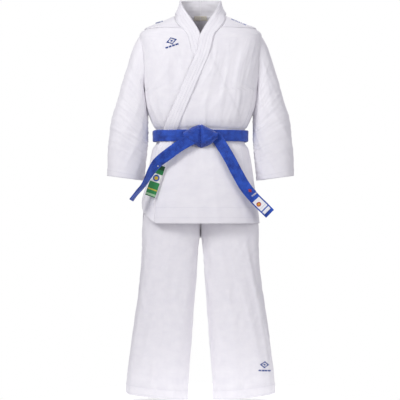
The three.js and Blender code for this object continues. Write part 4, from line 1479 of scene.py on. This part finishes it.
# Points and normals on the left tail's cloth, between the points of its grid.
def onTail(u, v):
    points, normals = tails[1][1:]
    rows, columns = points.shape[0] - 1, points.shape[1] - 1
    row, column = v * rows, u * columns
    low = np.clip(np.floor(row).astype(int), 0, rows - 1)
    left = np.clip(np.floor(column).astype(int), 0, columns - 1)
    a, b = (row - low)[..., None], (column - left)[..., None]
    return [lerp(lerp(field[low, left], field[low, left + 1], b),
                 lerp(field[low + 1, left], field[low + 1, left + 1], b), a)
            for field in (points, normals)]


def labelPlace(u, v):
    points, normals = onTail(lerp(beltLabel["inset"], 1 - beltLabel["inset"], u),
                             lerp(beltLabel["first"], beltLabel["last"], v))
    return points + normals * beltLabel["proud"]


tailLabel, labelPoints = makeCloth(
    "belt_end_label", 20, 40, labelPlace, labelWeave,
    lambda u, v, p: -0.5 * (bump(u, 0, 0.04) + bump(u, 1, 0.04)), forwardOf, thickness=0.6)[:2]
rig.replaces(tailLabel, "belt_label")

# A red rhombus and a white bar are stitched above the label.
tailMarks = {
    "belt_end_emblem": (rhombusThreads(184, -647, 10, 8, 0.05, math.radians(-40), 26), redThread),
    "belt_end_bar": (barThreads(191, -668, 208, -655, 7), whiteThread),
}


def stitchOnTail(name):
    threads, material = tailMarks[name]
    bm = bmesh.new()
    satin(bm, *tails[1][1:], threads, proud=2.4)
    return finishMesh(name, bm, material)


tailEmblem, tailBar = stitchOnTail("belt_end_emblem"), stitchOnTail("belt_end_bar")

# A small woven label inside the back of the neck.
neckLabel = {"halfWidth": 20, "low": 8, "high": 26}


def neckLabelPlace(u, v):
    z = lerp(neckLabel["low"], neckLabel["high"], v)
    angle = math.pi - neckLabel["halfWidth"] * (2 * u - 1) / neckDepth
    return bodyPoint(angle, z, 0.2)


collarLabel, collarPoints = makeCloth(
    "neck_label_woven", 14, 14, neckLabelPlace, satinLabel, None, lambda p: -awayFromAxis(p),
    thickness=0.7)[:2]
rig.replaces(collarLabel, "neck_label")


# Bar tacks at the head of each side slit, and the two tapes that tie the jacket inside.
def makeTab(side):
    def place(u, v):
        angle = math.pi / 2 + math.radians(5) * (2 * u - 1)
        return bodyPoint(angle, slitZ + lerp(4, 34, v), layers["side"] + 2.6, side)

    name = sideNames[side]
    tab, points, normals = makeCloth(
        f"slit_tab_cloth_{name}", 14, 12, place, seamCanvas,
        lambda u, v, p: -1.2 * (bump(u, 0, 0.06) + bump(u, 1, 0.06)), thickness=1.4)
    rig.replaces(tab, f"slit_tab_{name}")
    lines = [gridLine(points, normals, row=r, first=0.08, last=0.92) for r in (1, 11)]
    lines += [gridLine(points, normals, column=c, first=0.08, last=0.92) for c in (1.2, 12.8)]
    return tab, points, lines


tabs = {side: makeTab(side) for side in sideNames}
tabStitches = makeStitches("slit_tab_stitches", tabs[1][2] + tabs[-1][2], whiteThread,
                           pitch=5, length=3.4)

innerTapes = {"front": (66, 70, 150), "side": (76, 80, 165)}


# start and end are degrees round the body, from its front.
def makeTape(name, start, end, length):
    def place(u, v):
        angle = np.radians(lerp(start, end, u)) + 0.02 * np.sin(5 * v)
        return bodyPoint(angle, beltBottom - 18 - length * v, -4.2)

    tape, points, normals = makeCloth(f"inner_tie_tape_{name}", 8, 60, place, seamCanvas,
                                      lambda u, v, p: 0.3 * np.abs(np.sin(9.42 * u)),
                                      thickness=1.0)
    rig.replaces(tape, f"inner_tie_{name}")
    return tape, points


tapes = {name: makeTape(name, *sizes) for name, sizes in innerTapes.items()}
print("labels, tabs and tapes made")


# Riding, blending and slots. A blend runs from the first point to the second, in metres.

body = "jacket_and_seat"
blends = {
    "sleeve": lambda side: {"start": (side * 0.2511, 0, -0.0443), "end": (side * 0.2955, 0, -0.0521)},
    "leg": lambda side: {"start": (side * 0.112, 0, -0.70), "end": (side * 0.112, 0, -0.86)},
    "tail": lambda side: {"start": (0, -0.13, -0.458), "end": (0, -0.13, -0.495)},
    "gusset": lambda side: {"start": (side * 0.003, 0, -0.8), "end": (side * 0.037, 0, -0.8)},
}
for piece in (overCloth, underCloth, backCloth, waistband, beltInner, beltOuter, knotLeft, knotRight,
              centreSeam, jacketStitches, chestEmblem, collarLabel, tabStitches,
              *shoulderBars.values(),
              *[made[0] for group in (bands, yokes, tabs, tapes) for made in group.values()]):
    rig.ride(piece, body)
for side, name in sideNames.items():
    for piece in (sleeves[side][0], sleeveStitches[side]):
        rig.blend(piece, body, f"sleeve_{name}", **blends["sleeve"](side))
    for piece in (legs[side][0], legStitches[side]):
        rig.blend(piece, body, f"leg_{name}", **blends["leg"](side))
    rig.blend(gussets[side][0], body, f"leg_{name}", **blends["gusset"](side))
    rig.blend(tails[side][0], body, f"belt_tail_{name}", **blends["tail"](side))
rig.ride(legEmblem, "leg_left")
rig.ride(swingTag, "swing_tag")
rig.ride(tagPin, "belt_tail_right")
for piece in (tailLabel, tailEmblem, tailBar):
    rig.ride(piece, "belt_tail_left")

cottonGroups = (bands, yokes, tabs, tapes, sleeves, legs, gussets)
groupPieces = [made[0] for group in cottonGroups for made in group.values()]
slots = {
    "white_cotton": [overCloth, underCloth, backCloth, centreSeam, jacketStitches, chestEmblem,
                     legEmblem, tabStitches, *shoulderBars.values(), *sleeveStitches.values(),
                     *legStitches.values(), *groupPieces],
    "belt_cotton": [beltInner, beltOuter, knotLeft, knotRight, tails[1][0], tails[-1][0]],
    "woven_label": [tailLabel, tailEmblem, tailBar, collarLabel],
    "elastic": [waistband],
    "printed_card": [swingTag],
    "tag_plastic": [tagPin],
}
for slot, pieces in slots.items():
    for piece in pieces:
        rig.slot(piece, slot)


# The cut's width, length and flat area in metres, measured over the made cloth's grid.
def cutOf(points):
    across = np.linalg.norm(np.diff(points, axis=1), axis=-1).sum(axis=1).max()
    along = np.linalg.norm(np.diff(points, axis=0), axis=-1).sum(axis=0).max()
    first = np.cross(points[:-1, 1:] - points[:-1, :-1], points[1:, :-1] - points[:-1, :-1])
    second = np.cross(points[1:, :-1] - points[1:, 1:], points[:-1, 1:] - points[1:, 1:])
    area = (np.linalg.norm(first, axis=-1).sum() + np.linalg.norm(second, axis=-1).sum()) / 2
    return across * toMetres, along * toMetres, area * toMetres**2


def declare(piece, points, held, restsOn=(), onIt=()):
    width, length, area = cutOf(points)
    flat = (max(round(width, 4), 0.01), round(length, 4))
    area = min(area, 0.9999 * flat[0] * flat[1])
    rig.sheet(piece, flat=flat, held=held, rests_on=restsOn, with_pieces=onIt, area=round(area, 7))


declare(overCloth, overPoints, "hung", [underCloth, yokes[1][0]], [jacketStitches])
declare(underCloth, underPoints, "hung", [yokes[-1][0]], [chestEmblem])
declare(backCloth, backPoints, "hung", [yokes[1][0], yokes[-1][0]])
for side, front in ((1, overCloth), (-1, underCloth)):
    declare(*yokes[side][:2], "laid", [front, backCloth], [shoulderBars[side]])
    declare(*bands[side][:2], "folded", [front])
    declare(*sleeves[side][:2], "hung", [yokes[side][0]], [sleeveStitches[side]])
    onLeg = [legStitches[side]] + ([legEmblem] if side > 0 else [])
    declare(*legs[side][:2], "hung", [waistband], onLeg)
    declare(*gussets[side], "hung", [centreSeam])
    declare(*tabs[side][:2], "laid", [backCloth], [tabStitches] if side > 0 else [])
    declare(*tails[side][:2], "hung", [knotLeft])
declare(centreSeam, seamPoints, "laid", [legs[1][0], legs[-1][0]])
declare(waistband, waistbandPoints, "gathered", [legs[1][0], legs[-1][0]])
declare(beltInner, innerPoints, "stretched", [overCloth, backCloth])
declare(beltOuter, outerPoints, "stretched", [beltInner])
declare(knotLeft, knotLeftPoints, "folded", [beltOuter])
declare(knotRight, knotRightPoints, "folded", [beltOuter])
declare(tailLabel, labelPoints, "laid", [tails[1][0]], [tailEmblem, tailBar])
declare(collarLabel, collarPoints, "laid", [backCloth])
for tape, points in tapes.values():
    declare(tape, points, "hung", [underCloth])
print("pieces declared")

# Floor, light and camera

bm = bmesh.new()
bmesh.ops.create_circle(bm, cap_ends=True, segments=96, radius=0.55)
bmesh.ops.translate(bm, verts=bm.verts, vec=(0, 0, legEndZ * toMetres - 0.004))
# White paper that glows a little, so it stays as light as the backdrop and shows no edge.
floorPaint = newMaterial(
    "matt white paper backdrop", Base_Color=linear("#FAFAFA"), Roughness=1.0,
    Emission_Color=linear("#FFFFFF"), Emission_Strength=0.52)[0]
floor = finishMesh("floor", bm, floorPaint)
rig.stage(floor)

scene = bpy.context.scene
world = bpy.data.worlds.new("studio")
scene.world = world
world.use_nodes = True
worldTree = world.node_tree
background = worldTree.nodes["Background"]
setInputs(worldTree, background, {"Color": linear("#F2F0F9"), "Strength": 0.47})
# The camera sees plain white, and the cloth is lit by the softer colour.
seen = addNode(worldTree, "ShaderNodeBackground", {"Strength": 1.0, "Color": (1, 1, 1, 1)})
ray = addNode(worldTree, "ShaderNodeLightPath")
either = addNode(worldTree, "ShaderNodeMixShader", {
    "Fac": ray.outputs["Is Camera Ray"], 1: background.outputs[0], 2: seen.outputs[0]})
setInputs(worldTree, worldTree.nodes["World Output"], {"Surface": either.outputs[0]})
scene.view_settings.view_transform = "Standard"

lights = {
    "key": {"place": (-2.1, -2.5, 1.3), "aim": -0.2, "power": 8.5, "size": 1.2, "spread": 62},
    "fill": {"place": (2.2, -3.4, 0.3), "aim": -0.3, "power": 16, "size": 2.0, "spread": 120},
    "rim": {"place": (0.9, 3.0, 1.8), "aim": -0.6, "power": 20, "size": 1.6, "spread": 120},
}
for name, values in lights.items():
    lamp = bpy.data.lights.new(name, "AREA")
    lamp.energy = values["power"]
    lamp.size = values["size"]
    lamp.spread = math.radians(values["spread"])
    lampObject = bpy.data.objects.new(name, lamp)
    lampObject.location = values["place"]
    aim = Vector((0, 0, values["aim"])) - lampObject.location
    lampObject.rotation_euler = aim.to_track_quat("-Z", "Y").to_euler()
    scene.collection.objects.link(lampObject)

view = {"distance": 6.0, "frameHeight": 1.52, "x": -0.0019, "z": -0.682}
cameraData = bpy.data.cameras.new("camera")
cameraData.sensor_width = 36
cameraData.lens = 36 * view["distance"] / view["frameHeight"]
camera = bpy.data.objects.new("camera", cameraData)
camera.location = (view["x"], -view["distance"], view["z"])
camera.rotation_euler = (math.pi / 2, 0, 0)
scene.collection.objects.link(camera)
scene.camera = camera

with open("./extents.json", "w") as sizes:
    json.dump({"cad": [list(c) for c in cadBox], "visual": [list(c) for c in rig.bounds()]}, sizes)
